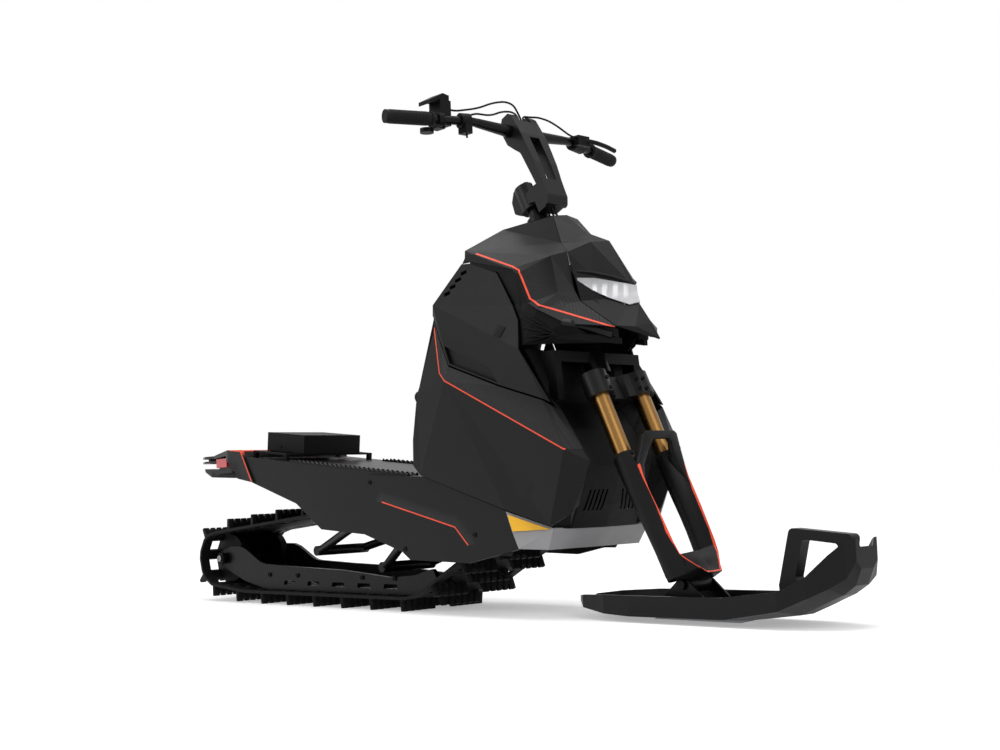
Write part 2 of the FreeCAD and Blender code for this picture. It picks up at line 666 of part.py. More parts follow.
# Tower: side panels, upper panels, rear panel and front shroud
side_points = {
    "rear_top": (84, -200, 727), "top_a": (106, -203, 672), "top_b": (137, -206, 610), "top_c": (313, -208, 548),
    "top_d": (455, -205, 505), "corner": (472, -198, 494), "crease_a": (84, -202, 709), "crease_b": (107, -210, 597),
    "crease_c": (128, -213, 576), "crease_d": (517, -206, 391), "low_front": (450, -192, 219),
    "edge_top": (478, -166, 481), "edge_mid": (549, -155, 362), "edge_low": (490, -156, 249),
    "edge_base": (432, -168, 215), "low_mid": (314, -201, 258), "low_rear": (12, -201, 349),
    "rear_low": (-15, -200, 374), "rear_a": (-12, -201, 438), "rear_b": (10, -202, 550), "rear_c": (30, -202, 587)}
side_faces = [
    ("rear_top", "crease_a", "crease_b", "top_a"), ("top_a", "crease_b", "crease_c", "top_b"),
    ("top_b", "crease_c", "top_c"), ("top_c", "crease_c", "crease_d"), ("top_c", "crease_d", "top_d"),
    ("top_d", "crease_d", "corner"), ("crease_a", "rear_c", "crease_b"), ("rear_c", "rear_b", "crease_b"),
    ("crease_b", "rear_b", "crease_c"), ("rear_b", "rear_a", "low_rear", "crease_c"), ("rear_a", "rear_low", "low_rear"),
    ("crease_c", "low_rear", "low_mid"), ("crease_c", "low_mid", "low_front", "crease_d"),
    ("corner", "crease_d", "edge_mid", "edge_top"), ("crease_d", "low_front", "edge_low", "edge_mid"),
    ("low_front", "edge_base", "edge_low")]
side_shape = skin(side_points, side_faces, wall)
side_right = made("SidePanel", side_shape)
node(side_right, "side_panel_right")
node(mirror("SidePanelLeft", side_right), "side_panel_left")

upper_points = {
    "rear": (78, -200, 742), "fold_rear": (84, -204, 768), "fold_front": (381, -204, 630), "low_a": (86, -201, 731),
    "low_b": (108, -204, 676), "low_c": (139, -207, 614), "low_d": (315, -209, 552), "low_e": (457, -205, 509),
    "tip": (474, -199, 500), "front": (376, -196, 640), "front_high": (371, -192, 699), "brow": (350, -188, 737),
    "shoulder": (297, -184, 821), "top_front": (203, -182, 858), "top_rear": (172, -183, 860)}
upper_faces = [
    ("fold_rear", "rear", "low_a", "low_b", "low_c"), ("fold_rear", "low_c", "low_d", "fold_front"),
    ("fold_front", "low_d", "low_e", "tip"), ("fold_front", "front_high", "brow", "fold_rear"),
    ("fold_rear", "brow", "shoulder", "top_front", "top_rear")]


def prism(corners, y_from, y_to):
    """A straight block across the machine, from its side view."""
    face = Part.Face(Part.makePolygon([Vector(x, y_from, z) for x, z in corners + corners[:1]]))
    return face.extrude(Vector(0, y_to - y_from, 0))


slots = []
for number in range(4):
    x, z = 183 - 17 * number, 837 - 15.3 * number
    slots.append(prism([(x - 11, z + 2), (x + 9, z + 7), (x + 11, z - 2), (x - 9, z - 7)], -230, -150))
pocket_mouth = [(124, 662), (284, 596), (312, 557), (143, 617)]
pocket_back = [(117, 667), (287, 600), (316, 554), (140, 615)]
pocket = prism(pocket_back, -203.5, -194).cut(prism(pocket_mouth, -230, -198))
upper_shape = skin(upper_points, upper_faces, wall).cut(slots + [prism(pocket_mouth, -230, -190)]).fuse(pocket)
upper_right = made("UpperPanel", upper_shape)
node(upper_right, "upper_panel_right")
node(mirror("UpperPanelLeft", upper_right), "upper_panel_left")

rear_points = {
    "a": (-13, -195.6, 377), "a0": (-13, 0, 377), "b": (-10, -196.6, 438), "b0": (-10, 0, 438),
    "c": (12, -197.6, 550), "c0": (12, 0, 550), "d": (80, -195.6, 732), "d0": (80, 0, 732),
    "e": (88, -199.4, 768), "e0": (88, 0, 768), "f": (174, -178.8, 858.7), "f0": (174, 0, 858.7)}
rear_faces = [("a", "b", "b0", "a0"), ("b", "c", "c0", "b0"), ("c", "d", "d0", "c0"), ("d", "e", "e0", "d0"),
              ("e", "f", "f0", "e0")]
rear_faces = [tuple(reversed(face)) for face in rear_faces]
node(made("RearPanel", skin(*both_sides(rear_points, rear_faces), wall)), "rear_panel")
node(rod("Knob", "15", "35.6", "-31", "-160", "548", "X"), "side_knob")

shroud_points = {
    "c_a": (442, -112, 210), "m_a0": (446, 0, 209), "c_b": (468, -112, 262), "m_b0": (471, 0, 262),
    "c_c": (500, -110, 352), "m_c0": (502, 0, 352), "c_d": (452, -106, 440), "m_d0": (452, 0, 440),
    "c_e": (404, -104, 505), "m_e0": (404, 0, 505), "c_f": (392, -104, 628), "m_f0": (392, 0, 628),
    "e_a": (433, -166, 213), "e_b": (489, -155, 250), "e_c": (548, -154, 362), "e_d": (477, -165, 480),
    "e_e": (440, -170, 520), "e_f": (384, -184, 632)}
shroud_faces = [
    ("e_a", "c_a", "c_b", "e_b"), ("e_b", "c_b", "c_c", "e_c"), ("e_c", "c_c", "c_d", "e_d"), ("e_d", "c_d", "c_e", "e_e"),
    ("e_e", "c_e", "c_f", "e_f"), ("c_a", "m_a0", "m_b0", "c_b"), ("c_b", "m_b0", "m_c0", "c_c"),
    ("c_c", "m_c0", "m_d0", "c_d"), ("c_d", "m_d0", "m_e0", "c_e"), ("c_e", "m_e0", "m_f0", "c_f")]
head_room = Part.makeCylinder(size("head_radius") + 3, size("head_length") + 20, Vector(0, 0, -size("head_length") - 20))
head_room.Placement = head_place
louvres = []
for number in range(5):
    y = -94 + 14 * number
    corners = [Vector(420, y, 250), Vector(420, y + 6, 250), Vector(420, y + 14, 298), Vector(420, y + 8, 298)]
    louvre = Part.Face(Part.makePolygon(corners + corners[:1])).extrude(Vector(110, 0, 0))
    louvres += [louvre, flipped(louvre)]
shroud_shape = skin(*both_sides(shroud_points, shroud_faces), wall).cut(
    [head_room, side_shape, flipped(side_shape), upper_shape, flipped(upper_shape), belly_shape] + louvres)
shroud_shape = largest(shroud_shape)
node(made("FrontShroud", shroud_shape), "front_shroud")

frame_front = [(-150, 508), (-128, 508), (-128, 598), (-24, 598), (-24, 624), (-150, 624)]
frame_bars = Part.Face(Part.makePolygon([Vector(380, y, z) for y, z in frame_front + frame_front[:1]])).extrude(
    Vector(80, 0, 0))
frame_side = prism([(432, 508), (454, 508), (442, 624), (391, 624)], -151, -20)
head_seat = Part.makeCylinder(size("head_radius") + seat, size("head_length") + 20,
                              Vector(0, 0, -size("head_length") - 20))
head_seat.Placement = head_place
frame_right = made("ShroudFrameRight", largest(frame_bars.common(frame_side).cut([head_seat, shroud_shape])))
node(group("ShroudFrame", [frame_right, mirror("ShroudFrameLeft", frame_right)]), "shroud_frame")

node(block("Engine", "Sizes.engine_length", "Sizes.engine_width", "Sizes.engine_height", "60",
           "-Sizes.engine_width/2", "372.3"), "engine")

# Cowl and hood
cowl_points = {
    "rear_low": (190, -188, 866), "rear_edge": (192, -188, 890), "rear_ridge": (198, -62, 954), "rear0": (186, 0, 966),
    "low_a": (349, -186, 824), "low_b": (365, -185, 810), "low_c": (392, -178, 738), "low_d": (416, -174, 722),
    "low_e": (480, -142, 682), "low_f": (561, -64, 672), "ridge_a": (410, -76, 887), "ridge_b": (436, -84, 862),
    "ridge_c": (460, -89, 767), "ridge_d": (476, -88, 738), "face_a": (425, -128, 850), "face_b": (440, -124, 760),
    "hole_rear": (214, -46, 958), "hole_rear0": (214, 0, 963), "hole_front": (349, -46, 966), "hole_front0": (350, 0, 971),
    "plateau": (356, -44, 966), "plateau0": (361, 0, 971), "brow": (432, -52, 906), "brow0": (425, 0, 916)}
cowl_faces = [
    ("rear_edge", "low_a", "face_a", "ridge_a", "rear_ridge"), ("low_a", "low_b", "face_a"),
    ("low_b", "low_c", "face_b", "face_a"), ("low_c", "low_d", "face_b"), ("low_d", "low_e", "ridge_d", "face_b"),
    ("low_e", "low_f", "ridge_d"), ("face_a", "ridge_b", "ridge_a"), ("face_a", "face_b", "ridge_c", "ridge_b"),
    ("face_b", "ridge_d", "ridge_c"),
    ("rear_ridge", "hole_rear", "hole_rear0", "rear0"), ("rear_ridge", "hole_front", "hole_rear"),
    ("rear_ridge", "ridge_a", "plateau", "hole_front"), ("hole_front", "plateau", "plateau0", "hole_front0"),
    ("rear_low", "low_a", "rear_edge")]
cowl_shape = skin(*both_sides(cowl_points, cowl_faces), wall)
node(made("Cowl", cowl_shape), "cowl")

duct_points = {
    "a": (172, -180, 861.3), "b": (203, -180, 861), "c": (297, -180, 824), "d": (350, -180, 740), "e": (371, -184, 700),
    "f": (378, -188, 640), "p": (195, -183, 886), "q": (347, -181, 824), "r": (362, -180, 810), "s": (390, -173, 740),
    "t": (414, -168, 724), "u": (474, -138, 686), "v": (452, -112, 640), "w": (518, -54, 637)}
duct_faces = [("a", "b", "p"), ("b", "c", "q", "p"), ("c", "d", "r", "q"), ("d", "e", "s", "r"), ("e", "f", "t", "s"),
              ("f", "u", "t"), ("f", "v", "u"), ("v", "w", "u")]
duct_shape = largest(skin(duct_points, duct_faces, wall).cut(
    [cowl_shape, flipped(cowl_shape), upper_shape, shroud_shape, frame_right.Shape, head_room]))
duct_right = made("DuctRight", duct_shape)
node(duct_right, "inner_panel_right")
node(mirror("DuctLeft", duct_right), "inner_panel_left")

hood_points = {
    "plateau": (357, -43, 965), "plateau0": (362, 0, 970), "ridge_a": (411, -75, 886), "ridge_b": (437, -83, 861),
    "brow0": (425, 0, 917), "crest0": (497, 0, 886), "crest": (470, -38, 884), "ridge_c": (461, -88, 800),
    "lamp_a": (463, -87, 797), "lamp_b": (496, -60, 794), "lamp_c": (567, -10, 774), "lamp_c0": (571, 0, 772),
    "lamp_d": (466, -87, 787), "lamp_e": (492, -68, 762), "lamp_f": (520, -44, 741), "lamp_g": (562, -18, 722),
    "lamp_g0": (581, 0, 727), "ridge_d": (478, -87, 738), "seam": (562, -63, 673), "chin": (600, -38, 668),
    "chin0": (617, 0, 676), "beak": (622, -12, 642), "beak0": (640, 0, 638)}
hood_faces = [
    ("plateau", "ridge_a", "brow0", "plateau0"), ("ridge_a", "ridge_b", "crest", "brow0"), ("brow0", "crest", "crest0"),
    ("ridge_b", "ridge_c", "lamp_a", "lamp_b", "crest"), ("crest", "lamp_b", "lamp_c", "crest0"),
    ("crest0", "lamp_c", "lamp_c0"),
    ("ridge_c", "ridge_d", "lamp_e", "lamp_d", "lamp_a"), ("ridge_d", "seam", "lamp_f", "lamp_e"),
    ("seam", "chin", "lamp_g", "lamp_f"), ("chin", "chin0", "lamp_g0", "lamp_g"),
    ("seam", "beak", "chin"), ("chin", "beak", "beak0", "chin0")]
hood_shape = skin(*both_sides(hood_points, hood_faces), wall).cut(cowl_shape)
node(made("Hood", hood_shape), "hood")
lens_points = {
    "a": (465, -85.5, 795), "b": (497, -59, 792.5), "c": (569, -8, 771.5), "c0": (572, 0, 770), "d": (467, -85.5, 789),
    "e": (496, -66, 764), "f": (526, -42, 743.5), "g": (566, -17, 724.5), "g0": (584, 0, 729.5)}
lens_faces = [("a", "d", "e", "b"), ("b", "e", "f"), ("b", "f", "g", "c"), ("c", "g", "g0", "c0")]
lens_shape = largest(skin(*both_sides(lens_points, lens_faces), 10.0).cut(hood_shape))
node(made("Headlight", lens_shape), "headlight")


def wing(start, finish):
    """One bar under the cowl's lower edge, from four corners at the side to four near the beak."""
    corners = [Vector(*corner) for corner in start + finish]
    bar = facet_solid(corners, [(0, 1, 2, 3), (7, 6, 5, 4), (0, 4, 5, 1), (1, 5, 6, 2), (2, 6, 7, 3), (3, 7, 4, 0)])
    return largest(bar.cut([duct_shape, cowl_shape, hood_shape]))


wing_right = made("WingRight", wing([(448, -122, 713), (450, -122, 688.8), (438, -102, 688.8), (436, -102, 713)],
                                    [(558, -56, 667), (557, -56, 646.8), (545, -36, 646.8), (546, -36, 667)]))
blade_bar = wing([(430, -146, 672), (432, -146, 652), (427, -139, 652), (425, -139, 672)],
                 [(562, -46, 645), (562, -46, 631), (557, -39, 631), (557, -39, 645)])
blade_right = made("BladeRight", largest(blade_bar.cut(wing_right.Shape)))
node(group("Wings", [wing_right, mirror("WingLeft", wing_right)]), "front_wings")
node(group("Blades", [blade_right, mirror("BladeLeft", blade_right)]), "wing_blades")

# Steering: pieces are drawn upright round the steering axis and then raked
def raked(thing):
    """Stands a piece on the steering axis. Its own zero is the top of the steering head."""
    thing.Placement = FreeCAD.Placement(Vector(), FreeCAD.Rotation(Vector(0, 1, 0), -size("rake")))
    return put(thing, "Sizes.head_front", "0", "Sizes.head_height")


head_pipe = raked(group("HeadPipe", [rod("HeadPipeRod", "Sizes.head_radius", "Sizes.head_length", "0", "0",
                                         "-Sizes.head_length")]))
head_bore = raked(group("HeadBore", [rod("HeadBoreRod", "Sizes.column_radius + Sizes.running_gap",
                                         "Sizes.head_length + 2", "0", "0", "-Sizes.head_length - 1")]))
gusset_side = [(303, 372.3), (343, 372.3), (384, 520), (384, 632), (412, 640), (384, 700), (345, 716), (330, 640)]
node(cut("HeadFrame", join("HeadOuter", [head_pipe, plate("HeadGusset", "XZ", [gusset_side], "20")]), head_bore),
     "head_frame")
column_top = 99.0
node(raked(group("Column", [rod("ColumnRod", "Sizes.column_radius",
                               f"{column_top} + Sizes.crown_depth + Sizes.crown_height - 4", "0", "0",
                               "-Sizes.crown_depth - Sizes.crown_height + 4")])), "steering_column")

half_spacing = size("fork_spacing") / 2
crown_ring = size("stanchion_radius") + 12
crown_plan = [(size("fork_offset") + 24, -half_spacing), (size("fork_offset") + 6, -24), (30, -18), (30, 18),
              (size("fork_offset") + 6, 24), (size("fork_offset") + 24, half_spacing), (4, half_spacing + 12),
              (-28, 26), (-28, -26), (4, -half_spacing - 12)]
crown_body = [plate("CrownBridge", "XY", [crown_plan], "Sizes.crown_height", "-Sizes.crown_depth - Sizes.crown_height")]
bores = [rod("ColumnBore", "Sizes.column_radius + Sizes.fork_seat", "Sizes.crown_height + 2", "0", "0",
             "-Sizes.crown_depth - Sizes.crown_height - 1")]
for side, name in ((-1, "Right"), (1, "Left")):
    y = f"{side}*Sizes.fork_spacing/2"
    crown_body.append(rod("CrownRing" + name, "Sizes.stanchion_radius + 12", "Sizes.crown_height", "Sizes.fork_offset",
                          y, "-Sizes.crown_depth - Sizes.crown_height"))
    bores.append(rod("CrownBore" + name, "Sizes.stanchion_radius + Sizes.fork_seat", "Sizes.crown_height + 2",
                     "Sizes.fork_offset", y, "-Sizes.crown_depth - Sizes.crown_height - 1"))
node(raked(cut("Crown", join("CrownBlock", crown_body), bores)), "fork_crown")

seat_depth = 70.0
tubes = []
for side, name in ((-1, "Right"), (1, "Left")):
    tubes.append(rod("Stanchion" + name, "Sizes.stanchion_radius",
                     f"Sizes.lower_depth - Sizes.crown_depth + {seat_depth} - 6", "Sizes.fork_offset",
                     f"{side}*Sizes.fork_spacing/2", f"-Sizes.lower_depth - {seat_depth}"))
node(raked(group("Stanchions", tubes)), "stanchions")

low = -size("lower_depth")
pivot = -size("pivot_depth")
leg = size("stanchion_radius") + 9
front_face = size("fork_offset") + 42
half_blade = 58


def across(half):
    """A closed front view from its left half."""
    return half + [(-corner[0],) + corner[1:] for corner in reversed(half)]


blade = plate("LowerBlade", "YZ", [across([(half_blade, low), (half_blade, pivot + 30), (52, pivot + 26),
                                           (40, pivot + 26)])], "38", f"{front_face} - 38")
toe = plate("LowerToe", "YZ", [across([(half_blade, pivot + 40), (half_blade, pivot + 12), (48, pivot + 6)])], "16",
            f"{front_face} - 16")
hub = plate("LowerHub", "YZ", [across([(40, pivot + 52), (40, pivot - 4), (24, pivot - 18)])], "52",
            f"{front_face} - 52")
opening = across([(44, low + 8), (44, low - 50), (40, low - 150), (29, low - 232, 14), (12, low - 256, 10)])
blade_gap = plate("LowerGap", "YZ", [opening], "200", "Sizes.fork_offset - 100")
collars, sockets = [], []
for side, name in ((-1, "Right"), (1, "Left")):
    collar_top = Vector(size("fork_offset"), side * half_spacing, low)
    collar_run = Vector(size("fork_offset") + 2, side * (half_spacing - 16), pivot + 30) - collar_top
    collars.append(made("Collar" + name, Part.makeCone(leg - 1, size("stanchion_radius") - 1, collar_run.Length,
                                                       collar_top, collar_run)))
    sockets.append(rod("Socket" + name, "Sizes.stanchion_radius + Sizes.fork_seat", f"{seat_depth + 5}",
                       "Sizes.fork_offset", f"{side}*Sizes.fork_spacing/2", f"-Sizes.lower_depth - {seat_depth + 0.3}"))
arch_side = [(front_face - 20, low - 70), (front_face, low - 70), (front_face + 8, low - 20, 30),
             (front_face + 23, low + 18, 12), (front_face + 22, low + 34, 5), (front_face + 10, low + 35, 5),
             (front_face - 4, low + 6, 20), (front_face - 16, low - 30)]
arch_half = [(half_blade, low - 70), (half_blade, low - 20, 30), (54, low + 36, 8)]
window_half = [(44, low - 70), (44, low - 20, 20), (38, low + 5, 10)]
arch = common("Arch", plate("ArchSide", "XZ", [arch_side], "220"),
              cut("ArchFront", plate("ArchBlock", "YZ", [across(arch_half)], "160", "Sizes.fork_offset - 40"),
                  plate("ArchWindow", "YZ", [across(window_half)], "180", "Sizes.fork_offset - 50")))
lower_body = join("LowerBody", [cut("LowerFrame", join("LowerLegs", [blade, toe, hub] + collars), blade_gap), arch])
ski_bore = rod("SkiBore", "Sizes.pivot_radius + Sizes.fork_seat", "120", "Sizes.fork_offset", "-60",
               "-Sizes.pivot_depth", "Y")
node(raked(cut("ForkLower", lower_body, sockets + [ski_bore])), "fork_lower")

# Stem, handlebar and controls
bar_h = size("riser_height")
bar_f = size("riser_offset")
riser_floor = 62.0
riser_side = [(bar_f + 14, -6), (bar_f + 24, -6, 8), (bar_f + 34, 14, 20), (bar_f + 38, 110, 60),
              (bar_f + 34, bar_h - 27), (bar_f + 26, bar_h + 31), (bar_f + 18, bar_h + 43, 4),
              (bar_f - 6, bar_h + 43, 4), (bar_f - 13, bar_h + 35), (bar_f - 23, bar_h, 14),
              (bar_f - 20, bar_h - 29, 14), (bar_f - 3, bar_h - 56, 12), (bar_f + 8, bar_h - 72, 20),
              (bar_f + 12, 75)]
core_side = [(34, -6), (bar_f + 20, -6), (bar_f + 30, 10), (bar_f + 34, riser_floor), (14, riser_floor), (14, 34),
             (34, 26)]
riser = plate("RiserBlock", "XZ", [riser_side], "88")
core = plate("RiserCore", "XZ", [core_side], "60")
bridge_top = bar_h + 19
stem_tools = [
    rod("StemBore", "Sizes.column_radius + Sizes.fork_seat", "140", "0", "0", "-10"),
    rod("BarBore", "Sizes.bar_clamp_radius + Sizes.fork_seat", "120", "Sizes.riser_offset", "-60",
        "Sizes.riser_height", "Y"),
    block("RiserSlot", "110", "34", str(bar_h - 36 - riser_floor), "Sizes.riser_offset - 55", "-17", str(riser_floor)),
    block("RiserTop", "110", "40", "60", "Sizes.riser_offset - 55", "-20", str(bridge_top)),
    plate("TaperRight", "YZ", [[(-60, -20), (-36, -20), (-36, 60), (-45, 190), (-60, 190)]], "220", "-60"),
    plate("TaperLeft", "YZ", [[(60, -20), (36, -20), (36, 60), (45, 190), (60, 190)]], "220", "-60")]
clamp_side = [(-46, 42, 8), (-42, 74, 10), (-24, 96, 10), (20, 96), (bar_f - 14, 80), (bar_f - 14, 28), (-32, 28, 8)]
clamp_block = plate("ClampBlock", "XZ", [clamp_side], "44")
clamp_ring = rod("ColumnClamp", "Sizes.column_radius + 12", "68", "0", "0", "26")
clamp = join("Clamp", [clamp_block, clamp_ring])
node(raked(cut("Stem", join("StemBlock", [riser, core, clamp]), stem_tools)), "stem")

bar_middle = head_place.multVec(Vector(bar_f, 0, bar_h))
half_bar = size("bar_width") / 2
grip = size("grip_length")
grip_end = 4.0


def bar_points(side):
    """Half of the handlebar's middle line, from the clamp to the end of the grip."""
    return [Vector(bar_middle.x, side * 52, bar_middle.z),
            Vector(bar_middle.x - 1, side * (half_bar - grip - 98), bar_middle.z + 6),
            Vector(bar_middle.x - 21, side * (half_bar - grip), bar_middle.z + 1),
            Vector(bar_middle.x - 54, side * half_bar, bar_middle.z - 5)]


def bent(points, radius, share=0.45):
    """A round tube along straight runs with tangent arcs, and its middle wire."""
    edges, last = [], points[0]
    for before, corner, after in zip(points, points[1:], points[2:]):
        into = (corner - before).normalize()
        out = (after - corner).normalize()
        turn = into.getAngle(out)
        set_back = share * min((corner - before).Length, (after - corner).Length)
        start, end = corner - into * set_back, corner + out * set_back
        bend = set_back / math.tan(turn / 2)
        inward = (out - into).normalize()
        middle = corner + inward * (math.hypot(bend, set_back) - bend)
        edges.append(Part.LineSegment(last, start).toShape())
        edges.append(Part.Arc(start, middle, end).toShape())
        last = end
    edges.append(Part.LineSegment(last, points[-1]).toShape())
    wire = Part.Wire(edges)
    first = (points[1] - points[0]).normalize()
    ring = Part.Wire(Part.makeCircle(radius, points[0], first))
    solid = wire.makePipeShell([ring], True, False)
    expected = math.pi * radius ** 2 * wire.Length
    print(f"tube of {wire.Length:.0f} mm, volume {solid.Volume / expected:.4f} of its section times its length")
    return solid


right_line = bar_points(-1)
left_line = bar_points(1)
bar_end = (right_line[3] - right_line[2]).normalize() * (grip_end + seat)
middle_bar = Part.makeCylinder(size("bar_clamp_radius"), 104, Vector(bar_middle.x, -52, bar_middle.z), Vector(0, 1, 0))
right_half = bent(right_line[:3] + [right_line[3] - bar_end], size("bar_radius"), 0.1)
taper_run = (right_line[1] - right_line[0]) * 0.85
right_half = right_half.fuse(Part.makeCone(size("bar_clamp_radius") - 0.6, size("bar_radius") + 0.6, taper_run.Length,
                                           right_line[0], taper_run))
left_half = right_half.mirror(Vector(), Vector(0, 1, 0))
node(made("Handlebar", middle_bar.fuse([right_half, left_half])), "handlebar")


def grip_on(start, end):
    """A rubber grip, closed at its outer end, with a flange inside."""
    run = (end - start).normalize()
    full = Part.makeCylinder(size("grip_radius"), (end - start).Length, start, run)
    flange = Part.makeCylinder(size("grip_radius") + 3, 4, start, run)
    bore = Part.makeCylinder(size("bar_radius") + seat, (end - start).Length - grip_end + 1, start - run, run)
    return full.fuse(flange).cut(bore)


grip_start = right_line[2] + (right_line[3] - right_line[2]).normalize() * 12
grip_shape = grip_on(grip_start, right_line[3])
grip_right = made("GripRight", grip_shape)
node(group("Grips", [grip_right, mirror("GripLeft", grip_right)]), "grips")


def on_bar(line, distance):
    """A point on the straight stretch of the bar inside the grip, and its direction."""
    run = (line[2] - line[1]).normalize()
    return line[2] - run * distance, run


def bar_clamp(line, distance, width, radius):
    """A clamp ring round the bar."""
    spot, run = on_bar(line, distance)
    return Part.makeCylinder(radius, width, spot, run)


def bar_hole(line):
    """The space that the bar needs through a control."""
    spot, run = on_bar(line, 97)
    return Part.makeCylinder(size("bar_radius") + seat, 108, spot, run)


throttle_spot, _ = on_bar(right_line, 18)
throttle_box = Part.makeBox(42, 34, 62, throttle_spot + Vector(-34, -12, -14))
hood_view = [Vector(-40, -40, 34), Vector(-40, -12, 46), Vector(-40, 22, 46), Vector(-40, 22, 63), Vector(-40, 2, 66),
             Vector(-40, -40, 44)]
hood_view = [throttle_spot + corner for corner in hood_view]
throttle_top = Part.Face(Part.makePolygon(hood_view + hood_view[:1])).extrude(Vector(42, 0, 0))
switch_spot, switch_run = on_bar(right_line, 92)
switch_ring = Part.makeCylinder(19, 26, switch_spot, switch_run)
switch_pod = Part.makeBox(28, 22, 24, switch_spot + Vector(-12, -24, -34))
switch_hook = Part.makeBox(3, 4, 12, switch_spot + Vector(4, -14, -44))
paddle_arm = Part.makeBox(30, 24, 8, throttle_spot + Vector(-34, -12, -20))
paddle = Part.makeCylinder(17, 11, throttle_spot + Vector(-38, -18, -28), Vector(0, 0, 1))
throttle = throttle_box.fuse([throttle_top, bar_clamp(right_line, 16, 14, 18), paddle_arm, paddle])
switch = switch_ring.fuse([switch_pod, switch_hook])
right_hole = bar_hole(right_line)
node(group("RightControls", [made("Throttle", throttle.cut(right_hole)), made("Switch", switch.cut(right_hole))]),
     "right_controls")

lever_spot, _ = on_bar(left_line, 66)
lever_points = [lever_spot + Vector(25, 0, 6), lever_spot + Vector(40, 36, 2), lever_spot + Vector(38, 84, -2),
                lever_spot + Vector(34, 122, -8)]
lever = bent(lever_points, 6.0)
lever_block = Part.makeBox(44, 42, 26, lever_spot + Vector(-10, -18, -10))
node(made("LeftControls", lever_block.fuse([lever, bar_clamp(left_line, 76, 44, 19)]).cut(bar_hole(left_line))),
     "left_controls")

# Cables: three over the bar into the stem, three from the stem into the cowl
cable = size("cable_radius")


def raked_point(forward, side, above):
    """A point given in the steering axis' own directions."""
    return head_place.multVec(Vector(forward, side, above))


def stem_end(side):
    """The last points of a cable: over the bar and down on to the bridge between the risers."""
    forward = bar_f + 16
    return [raked_point(forward, side, bridge_top + 26), raked_point(forward, side, bridge_top + seat)]


throttle_start = throttle_spot + Vector(-6, 22 + seat, 30)
throttle_route = [throttle_start, throttle_start + Vector(2, 26, 0), Vector(214, -150, 1246), Vector(220, -104, 1266),
                  Vector(222, -62, 1276), Vector(220, -30, 1273)] + stem_end(0)
switch_start = switch_spot + Vector(0, 3 + seat, 15.5)
switch_route = [switch_start, switch_start + Vector(0, 22, 8), Vector(216, -108, 1234), Vector(218, -70, 1250),
                Vector(218, -36, 1255)] + stem_end(-9)
brake_start = lever_spot + Vector(26, -18 - seat, 8)
brake_route = [brake_start, brake_start + Vector(0, -26, 4), Vector(230, 118, 1238), Vector(230, 84, 1248),
               Vector(226, 50, 1252), Vector(220, 26, 1250)] + stem_end(9)
node(made("CableThrottle", bent(throttle_route, cable)), "cable_throttle")
node(made("CableSwitch", bent(switch_route, cable)), "cable_switch")
node(made("CableBrake", bent(brake_route, cable)), "cable_brake")
low_cables = []
for number, forward in enumerate((38, 49, 60)):
    route = [raked_point(forward, 0, -6 - seat), raked_point(forward, 0, -26), raked_point(forward - 3, 0, -48),
             raked_point(forward - 4, 0, -70)]
    low_cables.append(made(f"LowCable{number}", bent(route, cable)))
node(group("LowCables", low_cables), "cables_low")

# Ski: a moulded channel with a keel, its saddle on the pivot bolt, wear bars and a loop
nose = size("half_length")
half_ski = size("ski_width") / 2
keel = size("keel_width") / 2
wear = size("wear_height") + 0.3
ski_floor = 42.0
pivot_spot = head_place.multVec(Vector(size("fork_offset"), 0, -size("pivot_depth")))


def toward_nose(share):
    """A place between the ski pivot and the nose."""
    return pivot_spot.x + (nose - pivot_spot.x) * share


SKI_STATIONS = [
    # x, half width, chine height, rim height, floor height, keel half width, keel height
    (pivot_spot.x - 322, 34, 38, 50, 47, 10, 34), (pivot_spot.x - 279, 72, 26, 55, 42, 14, 18),
    (pivot_spot.x - 189, half_ski - 6, 17, 59, 34, keel, 9), (pivot_spot.x - 109, half_ski, 14, 60, ski_floor, keel, wear),
    (toward_nose(0.342), half_ski, 16, 62, ski_floor, keel, wear), (toward_nose(0.66), half_ski, 38, 78, 60, keel, 24),
    (toward_nose(0.8), half_ski - 14, 64, 108, 90, keel, 50), (toward_nose(0.898), half_ski - 32, 84, 150, 122, keel, 68),
    (toward_nose(0.966), half_ski - 52, 104, 178, 152, keel, 88), (nose, half_ski - 68, 138, 183, 166, keel, 122)]


def floor_at(x):
    """Height of the ski's floor at a place along it."""
    for back, front in zip(SKI_STATIONS, SKI_STATIONS[1:]):
        if back[0] <= x <= front[0]:
            return back[4] + (front[4] - back[4]) * (x - back[0]) / (front[0] - back[0])
    return SKI_STATIONS[-1][4]


def ski_section(station):
    """One cross-section of the ski, as a closed outline."""
    x, half, chine, rim, floor, keel_half, keel_height = station
    lip = size("ski_wall")
    right = [(-keel_half, keel_height), (-half, chine), (-half, rim), (-half + lip, rim), (-half + lip + 6, floor)]
    outline = right + [(-y, z) for y, z in reversed(right)]
    return Part.makePolygon([Vector(x, y, z) for y, z in outline + outline[:1]])


ski_shape = Part.makeLoft([ski_section(station) for station in SKI_STATIONS], True, True)
node(made("Ski", ski_shape), "ski")
wear_back, wear_front = pivot_spot.x - 104, toward_nose(0.342)
wear_outline = [(wear_back - 15, 0.3), (wear_back, 0), (wear_front - 26, 0), (wear_front, 6), (wear_front - 26, 7),
                (wear_back, 7)]
node(plate("WearBar", "XZ", [wear_outline], "16"), "wear_bar")

